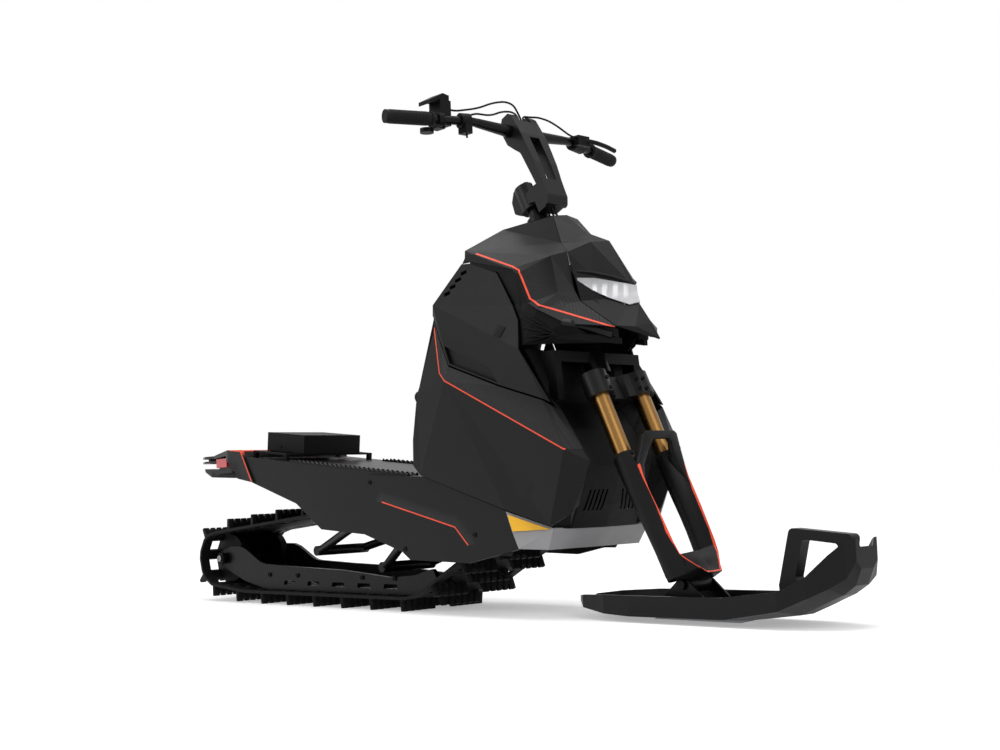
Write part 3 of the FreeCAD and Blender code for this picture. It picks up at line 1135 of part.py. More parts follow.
saddle_side = [(pivot_spot.x - 62, ski_floor + seat), (pivot_spot.x + 62, ski_floor + seat), (pivot_spot.x + 58, 54),
               (pivot_spot.x + 14, pivot_spot.z + 10, 12), (pivot_spot.x - 14, pivot_spot.z + 10, 12),
               (pivot_spot.x - 58, 54)]
saddle_bore = rod("SaddleBore", "Sizes.pivot_radius + Sizes.fork_seat", "120", str(pivot_spot.x), "-60",
                  str(pivot_spot.z), "Y")
saddle = cut("Saddle", plate("SaddleBlock", "XZ", [saddle_side], "92"),
             [block("SaddleGap", "200", "81", "80", str(pivot_spot.x - 100), "-40.5", "48"), saddle_bore])
node(saddle, "ski_saddle")
node(join("SkiBolt", [rod("BoltShank", "Sizes.pivot_radius", "104", str(pivot_spot.x), "-52", str(pivot_spot.z), "Y"),
                      rod("BoltHead", "Sizes.pivot_radius*1.8", "7", str(pivot_spot.x), "-54", str(pivot_spot.z), "Y"),
                      rod("BoltNut", "Sizes.pivot_radius*1.8", "8", str(pivot_spot.x), "46.5", str(pivot_spot.z),
                          "Y")]), "ski_bolt")
loop_feet = [toward_nose(0.93), toward_nose(0.9), toward_nose(0.612), toward_nose(0.537)]
loop_outer = [(x, floor_at(x) + seat) for x in loop_feet]
loop_outer += [(toward_nose(0.53), 84, 6), (toward_nose(0.604), 204, 12), (toward_nose(0.95), 190, 10)]
loop_inner = [(toward_nose(0.624), 96, 8), (toward_nose(0.674), 180, 8), (toward_nose(0.868), 171, 8),
              (toward_nose(0.872), 150, 8), (toward_nose(0.683), 90, 8)]
node(plate("SkiLoop", "XZ", [loop_outer, loop_inner], "30"), "ski_loop")

# Build, check and write
doc.recompute()
for thing in doc.Objects:
    if "Invalid" in thing.State or "Error" in thing.State:
        raise RuntimeError(f"{thing.Name} ({thing.Label}) did not compute: {thing.State}")
for thing in NODES:
    shape = thing.Shape
    if shape.isNull() or not shape.isValid() or not shape.Solids:
        raise RuntimeError(f"{thing.Label} has no valid solid")
os.makedirs("parts", exist_ok=True)
for thing in NODES:
    thing.Shape.exportStep(os.path.join("parts", thing.Label + ".step"))
print(f"{len(NODES)} sub-parts, {sum(len(thing.Shape.Solids) for thing in NODES)} solids")
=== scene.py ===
# %% [markdown]
# This notebook dresses a single-ski snowmobile. The imported model gives the construction at its real
# size, in metres, with X forward, Y to the rider's left and Z up. What follows adds the finishes and
# the small forms that the construction leaves plain. The frame is loaded first.

# %% Load the frame
import math
import bpy
import bmesh
from mathutils import Matrix, Vector


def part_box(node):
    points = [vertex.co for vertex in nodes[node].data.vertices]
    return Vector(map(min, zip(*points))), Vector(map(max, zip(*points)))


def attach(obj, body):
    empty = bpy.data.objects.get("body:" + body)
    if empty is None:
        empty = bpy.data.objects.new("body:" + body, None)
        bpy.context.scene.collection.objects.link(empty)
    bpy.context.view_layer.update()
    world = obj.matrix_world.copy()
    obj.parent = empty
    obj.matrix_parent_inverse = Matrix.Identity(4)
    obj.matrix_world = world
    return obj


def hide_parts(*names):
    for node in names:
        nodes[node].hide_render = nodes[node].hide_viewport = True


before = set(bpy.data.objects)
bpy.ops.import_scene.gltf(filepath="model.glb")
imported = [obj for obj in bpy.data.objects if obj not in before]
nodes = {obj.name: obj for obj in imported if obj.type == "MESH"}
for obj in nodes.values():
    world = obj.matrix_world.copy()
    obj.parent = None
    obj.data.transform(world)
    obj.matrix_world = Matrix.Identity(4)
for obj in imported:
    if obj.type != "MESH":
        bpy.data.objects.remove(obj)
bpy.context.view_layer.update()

# %% [markdown]
# A photograph is matched from the camera outwards. The picture was taken from the machine's front
# right, low down, with a long lens: the eye is about 3.7 metres away and only 0.3 metres above the
# floor, and it looks up a little. Turning the camera by three angles, rather than tracking a target,
# keeps the small roll that the picture has.

# %% Camera
EYE = Vector((2.7295, -2.5054, 0.3034))
HEADING = math.radians(46.35)
CLIMB = math.radians(4.65)
ROLL = math.radians(2.1)
FOCAL_IN_WIDTHS = 1.421
SENSOR_WIDTH = 36.0
PICTURE_WIDTH = 1000
PICTURE_HEIGHT = 750

ahead_of_camera = Vector((-math.sin(HEADING) * math.cos(CLIMB), math.cos(HEADING) * math.cos(CLIMB),
                          math.sin(CLIMB)))
level = Vector((math.cos(HEADING), math.sin(HEADING), 0.0))
below = ahead_of_camera.cross(level)
to_right = level * math.cos(ROLL) + below * math.sin(ROLL)
to_below = below * math.cos(ROLL) - level * math.sin(ROLL)

lens = bpy.data.cameras.new("camera")
lens.sensor_fit = "HORIZONTAL"
lens.sensor_width = SENSOR_WIDTH
lens.lens = FOCAL_IN_WIDTHS * SENSOR_WIDTH
camera = bpy.data.objects.new("camera", lens)
bpy.context.scene.collection.objects.link(camera)
turn = Matrix((to_right, -to_below, -ahead_of_camera)).transposed()
camera.matrix_world = Matrix.Translation(EYE) @ turn.to_4x4()
bpy.context.scene.camera = camera
print("focal length:", round(lens.lens, 1), "mm")

# %% [markdown]
# A material in Blender is a graph of nodes. Written out one node at a time, even a simple pattern
# takes a page. So this cell makes two small helpers. Shader holds a material and adds a node in one
# call. Signal wraps one number that varies over the surface, and gives it Python's own operators, so
# that a mask can be written as an expression such as 1 - dirt * 0.5.

# %% Shader helpers
class Signal:
    """A number that varies over the surface. Arithmetic on it adds Math nodes."""

    def __init__(self, shader, socket):
        self.shader = shader
        self.socket = socket

    def math(self, operation, *others):
        values = dict(enumerate((self,) + others))
        return self.shader.node("ShaderNodeMath", {"operation": operation}, values).signal(0)

    def __add__(self, other):
        return self.math("ADD", other)

    def __sub__(self, other):
        return self.math("SUBTRACT", other)

    def __mul__(self, other):
        return self.math("MULTIPLY", other)

    def __truediv__(self, other):
        return self.math("DIVIDE", other)

    def __rsub__(self, other):
        return (self * -1.0) + other

    def __mod__(self, other):
        return self.math("FLOORED_MODULO", other)

    __radd__ = __add__
    __rmul__ = __mul__

    def smaller(self, other):
        return self.math("MINIMUM", other)

    def larger(self, other):
        return self.math("MAXIMUM", other)

    def size(self):
        return self.math("ABSOLUTE")

    def root(self):
        return self.math("SQRT")

    def over(self, limit):
        """One where the number is above a limit, and zero elsewhere."""
        return self.math("GREATER_THAN", limit)

    def ramp(self, low, high):
        """Climbs from zero at low to one at high, and stays between the two."""
        settings = {"clamp": True}
        return self.shader.node("ShaderNodeMapRange", settings, {0: self, 1: low, 2: high}).signal(0)


class Made:
    """A node that was just added, with its outputs at hand."""

    def __init__(self, shader, node):
        self.shader = shader
        self.node = node

    def signal(self, output):
        return Signal(self.shader, self.node.outputs[output])

    def out(self, output=0):
        return self.node.outputs[output]


class Shader:
    """A material with one Principled shader. Keyword arguments set that shader's own sockets."""

    def __init__(self, name, **values):
        self.material = bpy.data.materials.new(name)
        self.material.use_nodes = True
        self.tree = self.material.node_tree
        self.tree.nodes.clear()
        self.output = self.tree.nodes.new("ShaderNodeOutputMaterial")
        self.principled = self.node("ShaderNodeBsdfPrincipled", {}, {})
        self.tree.links.new(self.principled.out("BSDF"), self.output.inputs["Surface"])
        for socket, value in values.items():
            self.set(socket.replace("_", " "), value)

    def node(self, kind, settings, values):
        """Adds any node: its settings first, then the values or links of its sockets."""
        node = self.tree.nodes.new(kind)
        for name, value in settings.items():
            setattr(node, name, value)
        for socket, value in values.items():
            self.feed(node.inputs[socket], value)
        return Made(self, node)

    def feed(self, socket, value):
        if isinstance(value, Signal):
            self.tree.links.new(value.socket, socket)
        elif isinstance(value, bpy.types.NodeSocket):
            self.tree.links.new(value, socket)
        else:
            socket.default_value = value

    def set(self, name, value):
        self.feed(self.principled.node.inputs[name], value)

    def place(self):
        """The point's own coordinates, as three signals in metres."""
        where = self.node("ShaderNodeTexCoord", {}, {}).out("Object")
        split = self.node("ShaderNodeSeparateXYZ", {}, {0: where})
        return split.signal(0), split.signal(1), split.signal(2)

    def noise(self, scale, detail=3.0, roughness=0.5, stretch=(1.0, 1.0, 1.0)):
        """Cloudy noise between 0 and 1, with a number of features to the metre."""
        where = self.node("ShaderNodeTexCoord", {}, {}).out("Object")
        moved = self.node("ShaderNodeMapping", {}, {"Vector": where, "Scale": stretch})
        values = {"Vector": moved.out(), "Scale": scale, "Detail": detail, "Roughness": roughness}
        return self.node("ShaderNodeTexNoise", {}, values).signal("Fac")

    def mix(self, factor, first, second):
        """A colour between two colours."""
        values = {"Factor": factor, 6: first, 7: second}
        return self.node("ShaderNodeMix", {"data_type": "RGBA"}, values).out(2)

    def bump(self, height, distance):
        """Relief from a height between 0 and 1, whose full height is a distance in metres."""
        values = {"Height": height, "Distance": distance}
        self.set("Normal", self.node("ShaderNodeBump", {}, values).out("Normal"))


SCREEN_GAMMA = 2.2


def grey(level):
    """A nearly neutral colour from a level between 0 and 1 as it is seen on a screen."""
    linear = level ** SCREEN_GAMMA
    return (linear, linear, linear * 1.03, 1.0)


def tint(red, green, blue):
    """A colour from three levels between 0 and 255 as they are seen on a screen."""
    return tuple((value / 255) ** SCREEN_GAMMA for value in (red, green, blue)) + (1.0,)


# %% [markdown]
# The coral lines follow the folds of the panels. Drawn with a texture they would need a flat layout
# of every panel, so they are worked out from the point's own place instead: the distance to a broken
# line in side view. The same sums give a honeycomb, as the least distance to two offset grids of
# cells. Both sides of the machine share one side view, so one mask serves both.

# %% Line and honeycomb masks
def line_distance(across, up, corners):
    """Distance in metres from a point to a broken line, whose corners are in millimetres."""
    nearest = None
    for (x1, z1), (x2, z2) in zip(corners, corners[1:]):
        run_x, run_z = (x2 - x1) / 1000, (z2 - z1) / 1000
        length = run_x ** 2 + run_z ** 2
        from_x, from_z = across - x1 / 1000, up - z1 / 1000
        share = ((from_x * run_x + from_z * run_z) / length).ramp(0.0, 1.0)
        off_x, off_z = from_x - share * run_x, from_z - share * run_z
        distance = (off_x * off_x + off_z * off_z).root()
        nearest = distance if nearest is None else nearest.smaller(distance)
    return nearest


def line_height(across, corners):
    """Height in metres of a broken line at a point, where the line never turns back."""
    height = corners[0][1] / 1000
    for (x1, z1), (x2, z2) in zip(corners, corners[1:]):
        height = across.ramp(x1 / 1000, x2 / 1000) * ((z2 - z1) / 1000) + height
    return height


def honeycomb(across, up, cell):
    """Zero in the middle of each cell and a half at its border."""
    tall = math.sqrt(3)
    nearest = None
    for shift in (0.0, 0.5):
        x = ((across / cell + shift) % 1.0 - 0.5).size()
        z = ((up / cell + shift * tall) % tall - tall / 2).size()
        edge = x.larger(x * 0.5 + z * (tall / 2))
        nearest = edge if nearest is None else nearest.smaller(edge)
    return nearest


# %% [markdown]
# The studio is a white floor under a white sky, with three soft lamps. The sky is full white only for
# the camera, for reflections and through lenses, so the lamps can stay at a plain level. The floor
# adds some white of its own for the same rays, and more of it far away, which hides the horizon and
# keeps the machine's soft shadow.

# %% Floor, world and lights
FLOOR_SIZE = 60.0
GLOW_NEAR = 0.36
GLOW_FAR = 0.64
GLOW_STARTS = 1.4
GLOW_ENDS = 5.5
AMBIENT = 0.42

bpy.ops.mesh.primitive_plane_add(size=FLOOR_SIZE, location=(0, 0, 0))
floor = bpy.context.object
floor.name = "floor"
floor_paint = Shader("floor_paint", Base_Color=(0.9, 0.9, 0.9, 1.0), Roughness=1.0)
floor_paint.set("Specular IOR Level", 0.0)
path = floor_paint.node("ShaderNodeLightPath", {}, {})
seen = path.signal("Is Camera Ray").larger(path.signal("Is Glossy Ray"))
seen = seen.larger(path.signal("Is Transmission Ray"))
floor_paint.set("Emission Color", (1.0, 1.0, 1.0, 1.0))
floor_x, floor_y, _ = floor_paint.place()
away = (floor_x * floor_x + floor_y * floor_y).root().ramp(GLOW_STARTS, GLOW_ENDS)
floor_paint.set("Emission Strength", seen * (away * (GLOW_FAR - GLOW_NEAR) + GLOW_NEAR))
floor.data.materials.append(floor_paint.material)

world = bpy.data.worlds.new("studio")
bpy.context.scene.world = world
world.use_nodes = True
sky = world.node_tree
sky.nodes.clear()
sky_out = sky.nodes.new("ShaderNodeOutputWorld")
sky_path = sky.nodes.new("ShaderNodeLightPath")
sky_mirrored = sky.nodes.new("ShaderNodeMath")
sky_mirrored.operation = "MAXIMUM"
sky.links.new(sky_path.outputs["Is Glossy Ray"], sky_mirrored.inputs[0])
sky.links.new(sky_path.outputs["Is Transmission Ray"], sky_mirrored.inputs[1])
sky_seen = sky.nodes.new("ShaderNodeMath")
sky_seen.operation = "MAXIMUM"
sky.links.new(sky_path.outputs["Is Camera Ray"], sky_seen.inputs[0])
sky.links.new(sky_mirrored.outputs[0], sky_seen.inputs[1])
sky_level = sky.nodes.new("ShaderNodeMapRange")
sky_level.inputs[3].default_value = AMBIENT
sky_level.inputs[4].default_value = 1.0
sky.links.new(sky_seen.outputs[0], sky_level.inputs[0])
sky_light = sky.nodes.new("ShaderNodeBackground")
sky_light.inputs["Color"].default_value = (1.0, 1.0, 1.0, 1.0)
sky.links.new(sky_level.outputs[0], sky_light.inputs["Strength"])
sky.links.new(sky_light.outputs[0], sky_out.inputs["Surface"])


def softbox(name, place, aim, width, height, power):
    """A large flat lamp at a place, turned to a point of the machine."""
    light = bpy.data.lights.new(name, "AREA")
    light.shape = "RECTANGLE"
    light.size = width
    light.size_y = height
    light.energy = power
    lamp = bpy.data.objects.new(name, light)
    bpy.context.scene.collection.objects.link(lamp)
    lamp.location = place
    lamp.rotation_euler = (Vector(aim) - Vector(place)).to_track_quat("-Z", "Y").to_euler()


softbox("softbox_top", (0.2, -0.4, 4.2), (0.1, 0.0, 0.4), 4.5, 3.0, 130)
softbox("softbox_front", (4.2, -0.6, 2.2), (0.3, 0.0, 0.6), 2.2, 2.6, 55)
softbox("softbox_side", (-1.6, -4.4, 2.4), (0.0, 0.0, 0.5), 3.0, 2.0, 60)

bpy.context.scene.view_settings.view_transform = "Standard"

# %% [markdown]
# Nearly everything here is black, and a row of equal blacks looks like a cut-out. What tells the
# pieces apart is how they shine: moulded panels are satin with a fine grain, painted steel is a bit
# glossier, rubber is dull and uneven. Each finish is made by one function, so a change in one place
# reaches every piece that wears it. The coral lines are broken lines in side view, in millimetres.

# %% Finishes
CORAL = tint(236, 88, 66)
PANEL_LEVEL = 0.09
PANEL_SHINE = 0.13
SIDE_LINE = [(84, 711), (107, 597), (128, 576), (517, 391)]
COWL_LINE = [(229, 878), (349, 830), (368, 819), (395, 748), (415, 732), (558, 670)]
COVER_LINE = [(-150, 285), (129, 219), (174, 176)]
CAP_LINE = [(-868, 452), (-810, 446), (-756, 357)]
LINE_BLUR = 0.0003
CELL = 0.0055
CELL_BORDER = (0.39, 0.46)
CELL_CONTRAST = 0.75
RELIEF = 0.0004
GUIDE_STEP = 0.015
GUIDE_LEAN = 0.6


def moulded(name, level, roughness=0.42, grain=900.0, depth=0.00006, specular=0.4):
    """Moulded plastic: an even colour with a fine leather grain and a faint cloudiness."""
    finish = Shader(name)
    finish.set("Specular IOR Level", specular)
    cloud = finish.noise(9.0, 4.0)
    finish.set("Base Color", finish.mix(cloud, grey(level * 0.9), grey(level * 1.1)))
    finish.set("Roughness", finish.noise(35.0, 3.0) * 0.12 + (roughness - 0.06))
    finish.bump(finish.noise(grain, 2.0), depth)
    return finish


def lined(name, level, corners, band, thickness=3.2, honeycomb_over=True, flank=None):
    """Panel plastic with a coral line in side view and a honeycomb that fades out above or below it.

    The band is how far the honeycomb reaches, and the thickness is the line's, both in millimetres.
    With a flank, the line keeps to the sides beyond that distance from the middle, and crosses the
    top straight at its second corner.
    """
    off_the_line = 0.05
    finish = Shader(name)
    finish.set("Specular IOR Level", PANEL_SHINE)
    x, y, z = finish.place()
    cloud = finish.noise(9.0, 4.0)
    plain = finish.mix(cloud, grey(level * 0.9), grey(level * 1.1))
    distance = line_distance(x, z, corners)
    if flank:
        on_top = 1 - y.size().over(flank)
        across_top = (x - corners[1][0] / 1000).size() + (1 - on_top) * off_the_line
        distance = (distance + on_top * off_the_line).smaller(across_top)
    line = 1 - distance.ramp(thickness / 2000 - LINE_BLUR, thickness / 2000 + LINE_BLUR)
    over = (z - line_height(x, corners)).over(0.0)
    if not honeycomb_over:
        over = 1 - over
    fade = (1 - distance.ramp(band * 0.0003, band * 0.001)) * over
    border = honeycomb(x, z, CELL).ramp(*CELL_BORDER)
    worn = finish.mix(fade * (1 - border) * CELL_CONTRAST, plain, grey(level * 2.1))
    finish.set("Base Color", finish.mix(line, worn, CORAL))
    finish.set("Roughness", finish.noise(35.0, 3.0) * 0.12 + 0.34 - fade * 0.05)
    finish.bump(finish.noise(900.0, 2.0) * 0.1 - fade * border, RELIEF)
    return finish


def painted(name, level, roughness=0.32, specular=0.5):
    """Powder coat on steel: a slight orange peel and a little wear in the gloss."""
    finish = Shader(name)
    finish.set("Specular IOR Level", specular)
    cloud = finish.noise(14.0, 5.0)
    finish.set("Base Color", finish.mix(cloud, grey(level * 0.88), grey(level * 1.12)))
    finish.set("Roughness", finish.noise(60.0, 4.0) * 0.16 + (roughness - 0.08))
    finish.bump(finish.noise(420.0, 2.0), 0.00008)
    return finish


def rubber(name, level):
    """Moulded rubber: dull, with dust in its pores."""
    finish = Shader(name)
    finish.set("Specular IOR Level", 0.14)
    dust = finish.noise(28.0, 6.0, 0.65).ramp(0.42, 0.72)
    finish.set("Base Color", finish.mix(dust, grey(level), grey(level * 1.5)))
    finish.set("Roughness", dust * 0.14 + 0.62)
    finish.bump(finish.noise(260.0, 4.0, 0.7), 0.0003)
    return finish


def metal(name, colour, roughness, stretch=(1.0, 1.0, 1.0)):
    """Bare or anodised metal with fine lines left by its tool."""
    finish = Shader(name, Metallic=1.0)
    lines = finish.noise(220.0, 3.0, 0.6, stretch)
    dark = tuple(value * 0.82 for value in colour[:3]) + (1.0,)
    finish.set("Base Color", finish.mix(lines, dark, colour))
    finish.set("Roughness", lines * 0.12 + (roughness - 0.06))
    finish.bump(lines, 0.00003)
    return finish


def lens_finish(name, colour, roughness=0.08):
    """A tinted moulded lens."""
    finish = Shader(name)
    finish.set("Specular IOR Level", 0.2)
    deeper = tuple(value * 0.88 for value in colour[:3]) + (1.0,)
    finish.set("Base Color", finish.mix(finish.noise(18.0, 2.0), deeper, colour))
    finish.set("Roughness", finish.noise(40.0, 2.0) * 0.05 + roughness)
    return finish


def headlight_lens(name):
    """The headlight's pale lens, with a row of leaning light guides that stand out of it, and a painted
    shadow that darkens it towards the top.
    """
    finish = Shader(name, Roughness=0.12)
    low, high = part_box("headlight")
    print("headlight box:", [round(value, 3) for value in low], [round(value, 3) for value in high])
    _, across, up = finish.place()
    share = (up - low[2]) / (high[2] - low[2])
    side = across.size()
    guides = 1 - ((side / GUIDE_STEP + share * GUIDE_LEAN) % 1.0 - 0.5).size().ramp(0.16, 0.3)
    guides = guides * side.ramp(0.012, 0.02) * (1 - side.ramp(0.07, 0.08)) * share.ramp(0.2, 0.35)
    guides = guides * (1 - share.ramp(0.62, 0.78))
    # Painted shade: the lens colour gets darker towards its top, a painted shadow along the upper edge, with
    # a faint random mottle over it.
    shade = share.ramp(0.35, 1.0) * 0.55 + finish.noise(60.0, 3.0) * 0.2
    shaded_lens_tone = finish.mix(shade, grey(0.8), grey(0.34))
    finish.set("Base Color", finish.mix(guides * 0.8, shaded_lens_tone, grey(0.94)))
    finish.bump(guides + finish.noise(300.0, 2.0) * 0.05, 0.0006)
    return finish


track_rubber = rubber("track_rubber", 0.055)
grip_rubber = rubber("grip_rubber", 0.08)
panel_black = moulded("panel_black", PANEL_LEVEL, 0.4, specular=PANEL_SHINE)
side_black = lined("side_black", PANEL_LEVEL, SIDE_LINE, 75)
cowl_black = lined("cowl_black", PANEL_LEVEL, COWL_LINE, 60)
cover_black = lined("cover_black", PANEL_LEVEL, COVER_LINE, 30)
cap_black = lined("cap_black", PANEL_LEVEL, CAP_LINE, 45, 4.5, honeycomb_over=False,
                  flank=0.18)
dull_black = moulded("dull_black", 0.055, 0.5, specular=0.1)
ski_black = moulded("ski_black", 0.075, 0.4, 500.0, 0.0001, 0.14)
steel_black = painted("steel_black", 0.06, specular=0.13)
alloy_black = painted("alloy_black", 0.08, 0.36, 0.17)
belly_pale = moulded("belly_pale", 0.55, 0.5, specular=0.3)
cable_sheath = moulded("cable_sheath", 0.03, 0.35, specular=0.1)
gold = metal("gold", tint(138, 104, 62), 0.3, (1.0, 1.0, 0.02))
zinc = metal("zinc", tint(150, 152, 156), 0.35)
bolt_black = metal("bolt_black", tint(34, 34, 36), 0.34)
red_lens = lens_finish("red_lens", tint(196, 30, 42))
amber_lens = lens_finish("amber_lens", tint(236, 178, 52), 0.2)
clear_lens = headlight_lens("clear_lens")

WEARS = {
    track_rubber: ["track"],
    grip_rubber: ["grips"],
    panel_black: ["upper_panel_right", "upper_panel_left", "hood", "rear_panel", "tunnel", "fork_lower"],
    side_black: ["side_panel_right", "side_panel_left"],
    cowl_black: ["cowl"],
    cover_black: ["lower_cover_right", "lower_cover_left"],
    cap_black: ["tail_cap"],
    dull_black: ["tail_fascia", "tail_tray", "cargo_box", "rack_frame", "front_shroud", "inner_panel_right",
                 "inner_panel_left", "front_wings", "wing_blades", "shroud_frame", "side_knob", "rear_axle",
                 "drive_axle", "right_controls", "left_controls", "engine"],
    ski_black: ["ski", "ski_loop"],
    steel_black: ["traction_strips", "rear_bumper", "front_arm", "rear_arm", "slide_rails", "head_frame",
                  "steering_column", "ski_saddle", "handlebar"],
    alloy_black: ["fork_crown", "stem"],
    belly_pale: ["belly_pan"],
    cable_sheath: ["cable_throttle", "cable_switch", "cable_brake", "cables_low"],
    gold: ["stanchions"],
    zinc: ["wear_bar"],
    bolt_black: ["ski_bolt"],
    red_lens: ["tail_lamp"],
    amber_lens: ["reflectors"],
    clear_lens: ["headlight"],
}
dressed = set()
for finish, names in WEARS.items():
    for name in names:
        nodes[name].data.materials.clear()
        nodes[name].data.materials.append(finish.material)
        dressed.add(name)
print("nodes without a finish:", sorted(set(nodes) - dressed))

# %% [markdown]
# The small forms are modelled by hand: a primitive is put in its place and worked on in edit mode.
# Hands choose faces with the mouse, and code chooses them by where they are and which way they look.
# These helpers do the choosing, grow a shape from one outline to the next by extruding its end face,
# and hand a finished piece over with its finish and the body that it rides on.

# %% Modelling helpers
RAKE = math.radians(24.5)
HEAD_TOP = Vector((0.262, 0.0, 0.977))
AXIS_AHEAD = Vector((math.cos(RAKE), 0.0, math.sin(RAKE)))
AXIS_UP = Vector((-math.sin(RAKE), 0.0, math.cos(RAKE)))
TO_LEFT = Vector((0.0, 1.0, 0.0))


def steered(forward, side, up):
    """A place in millimetres from the top of the steering head, along the steering axis."""
    return HEAD_TOP + (AXIS_AHEAD * forward + TO_LEFT * side + AXIS_UP * up) / 1000


def fresh():
    """Object mode with nothing selected."""
    if bpy.context.object and bpy.context.object.mode != "OBJECT":
        bpy.ops.object.mode_set(mode="OBJECT")
    bpy.ops.object.select_all(action="DESELECT")


def only(piece):
    """Object mode with one piece selected and active."""
    fresh()
    piece.select_set(True)
    bpy.context.view_layer.objects.active = piece


def choose_faces(piece, test):
    """In edit mode, selects the faces that pass a test."""
    bpy.ops.mesh.select_mode(type="FACE")
    bpy.ops.mesh.select_all(action="DESELECT")
    shape = bmesh.from_edit_mesh(piece.data)
    for face in [face for face in shape.faces if test(face)]:
        face.select_set(True)
    bmesh.update_edit_mesh(piece.data)


def grown(outlines):
    """A closed piece that grows from its first outline through all the others."""
    fresh()
    bpy.ops.mesh.primitive_circle_add(vertices=len(outlines[0]), fill_type="NGON")
    piece = bpy.context.object
    bpy.ops.object.mode_set(mode="EDIT")
    shape = bmesh.from_edit_mesh(piece.data)
    for corner, place in zip(shape.verts, outlines[0]):
        corner.co = place
    for before, after in zip(outlines, outlines[1:]):
        bmesh.update_edit_mesh(piece.data)
        bpy.ops.mesh.extrude_region_move()
        shape = bmesh.from_edit_mesh(piece.data)
        for corner in [corner for corner in shape.verts if corner.select]:
            number = min(range(len(before)), key=lambda count: (before[count] - corner.co).length)
            corner.co = after[number]
    bmesh.update_edit_mesh(piece.data)
    bpy.ops.mesh.select_all(action="SELECT")
    bpy.ops.mesh.normals_make_consistent(inside=False)
    bpy.ops.object.mode_set(mode="OBJECT")
    return piece


def modified(piece, kind, **settings):
    """Adds a modifier and applies it."""
    only(piece)
    modifier = piece.modifiers.new(kind, kind)
    for name, value in settings.items():
        setattr(modifier, name, value)
    bpy.ops.object.modifier_apply(modifier=modifier.name)
    return piece


def rounded_edges(piece, width, segments=2, angle=30):
    """Rounds every edge that is sharper than an angle."""
    return modified(piece, "BEVEL", width=width, segments=segments, limit_method="ANGLE",
                    angle_limit=math.radians(angle), harden_normals=False)


def joined(pieces):
    """One piece from several."""
    fresh()
    for piece in pieces:
        piece.select_set(True)
    bpy.context.view_layer.objects.active = pieces[0]
    if len(pieces) > 1:
        bpy.ops.object.join()
    return pieces[0]


def spot(place, out, along=None):
    """A place and a turn: the Z axis points out, and the X axis lies as near as it can to a direction."""
    out = out.normalized()
    along = along or (Vector((1, 0, 0)) if abs(out.x) < 0.9 else Vector((0, 0, 1)))
    across = out.cross(along).normalized()
    turned = Matrix((across.cross(out), across, out)).transposed()
    return Matrix.Translation(place) @ turned.to_4x4()


def twin_of(piece):
    """A copy of a piece with its own mesh."""
    twin = piece.copy()
    twin.data = piece.data.copy()
    bpy.context.scene.collection.objects.link(twin)
    return twin


def copies(master, spots):
    """A copy of one shape at every spot, all in one piece. The shape itself goes."""
    twins = []
    for place in spots:
        twin = twin_of(master)
        twin.matrix_world = place @ master.matrix_world
        twins.append(twin)
    bpy.data.objects.remove(master)
    return joined(twins)


def and_mirrored(piece):
    """The piece together with its mirror image on the machine's other side."""
    other = twin_of(piece)
    only(other)
    bpy.ops.object.mode_set(mode="EDIT")
    bpy.ops.mesh.select_all(action="SELECT")
    bpy.ops.transform.mirror(constraint_axis=(False, True, False), orient_type="GLOBAL",
                             center_override=(0, 0, 0))
    bpy.ops.mesh.normals_make_consistent(inside=False)
    bpy.ops.object.mode_set(mode="OBJECT")
    return joined([piece, other])


def hand_over(piece, name, body, finish, angle=30):
    """Bakes a piece's place into its mesh, and gives it a name, a finish and a body to ride on."""
    only(piece)
    bpy.ops.object.transform_apply(location=True, rotation=True, scale=True)
    bpy.ops.object.shade_smooth_by_angle(angle=math.radians(angle))
    piece.name = name
    piece.data.name = name
    piece.data.materials.clear()
    piece.data.materials.append(finish.material)
    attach(piece, body)
    print(name, "faces:", len(piece.data.polygons))


# %% [markdown]
# The fork's lower casting is the machine's most shaped piece. Each leg is a tube with a sharp fin in
# front, the two fins meet in a scoop under the opening, and an arch ties the legs at the top. A tube
# alone can't give that, so the left leg is grown through ten sections, each a circle drawn out to
# the fin. A section is its height, the circle's middle and radius, and the fin's place ahead and to
# the side, in millimetres. The right leg is its mirror image, with its faces turned outwards again.

# %% Fork legs
TUBE_AHEAD = 36
TUBE_SIDE = 72
LEG_SECTIONS = [
    (-686, 73.0, 26.5, 60.9, 82.1),
    (-716, 72.5, 25.6, 70, 81),
    (-748, 72, 24.5, 71, 80),
    (-790, 71, 22.5, 73, 78.5),
    (-830, 70.5, 20.5, 75, 76.5),
    (-870, 69, 19.0, 76, 74.5),
    (-915, 66, 18.2, 77, 72),
    (-945, 63.5, 19.0, 78, 67),
    (-972, 61, 20.0, 74, 60),
    (-986, 60, 19.0, 64, 60)]
BACK_POINTS = 15
BACK_START = math.radians(50)
BACK_TURN = math.radians(265)
FIN_SHARES = (0.35, 0.7)


def leg_outline(height, middle, radius, fin_ahead, fin_side):
    """One section of a leg: round at the back, and drawn out to the fin in front."""
    outline = [steered(fin_ahead, fin_side, height)]
    for step in range(BACK_POINTS):
        angle = BACK_START + BACK_TURN * step / (BACK_POINTS - 1)
        inner_ahead = TUBE_AHEAD + radius * math.cos(angle)
        inner_side = middle + radius * math.sin(angle)
        outline.append(steered(inner_ahead, inner_side, height))
    for share in FIN_SHARES:
        ahead = inner_ahead + (fin_ahead - inner_ahead) * share - 0.6
        side = inner_side + (fin_side - inner_side) * share + 1.0
        outline.append(steered(ahead, side, height))
    return outline


legs = and_mirrored(grown([leg_outline(*section) for section in LEG_SECTIONS]))
print("leg length:", LEG_SECTIONS[0][0] - LEG_SECTIONS[-1][0], "mm")

# %% [markdown]
# Under the opening the casting closes to a scoop, whose front edge carries on from the fins to a
# narrow toe. It is grown downwards too, from outlines that are each drawn for one side and mirrored.
# The arch is grown round its own path, as a bar whose four corners change at each station: its outer
# and inner front edges and its depth. A hub closes the toe round the ski's bolt.

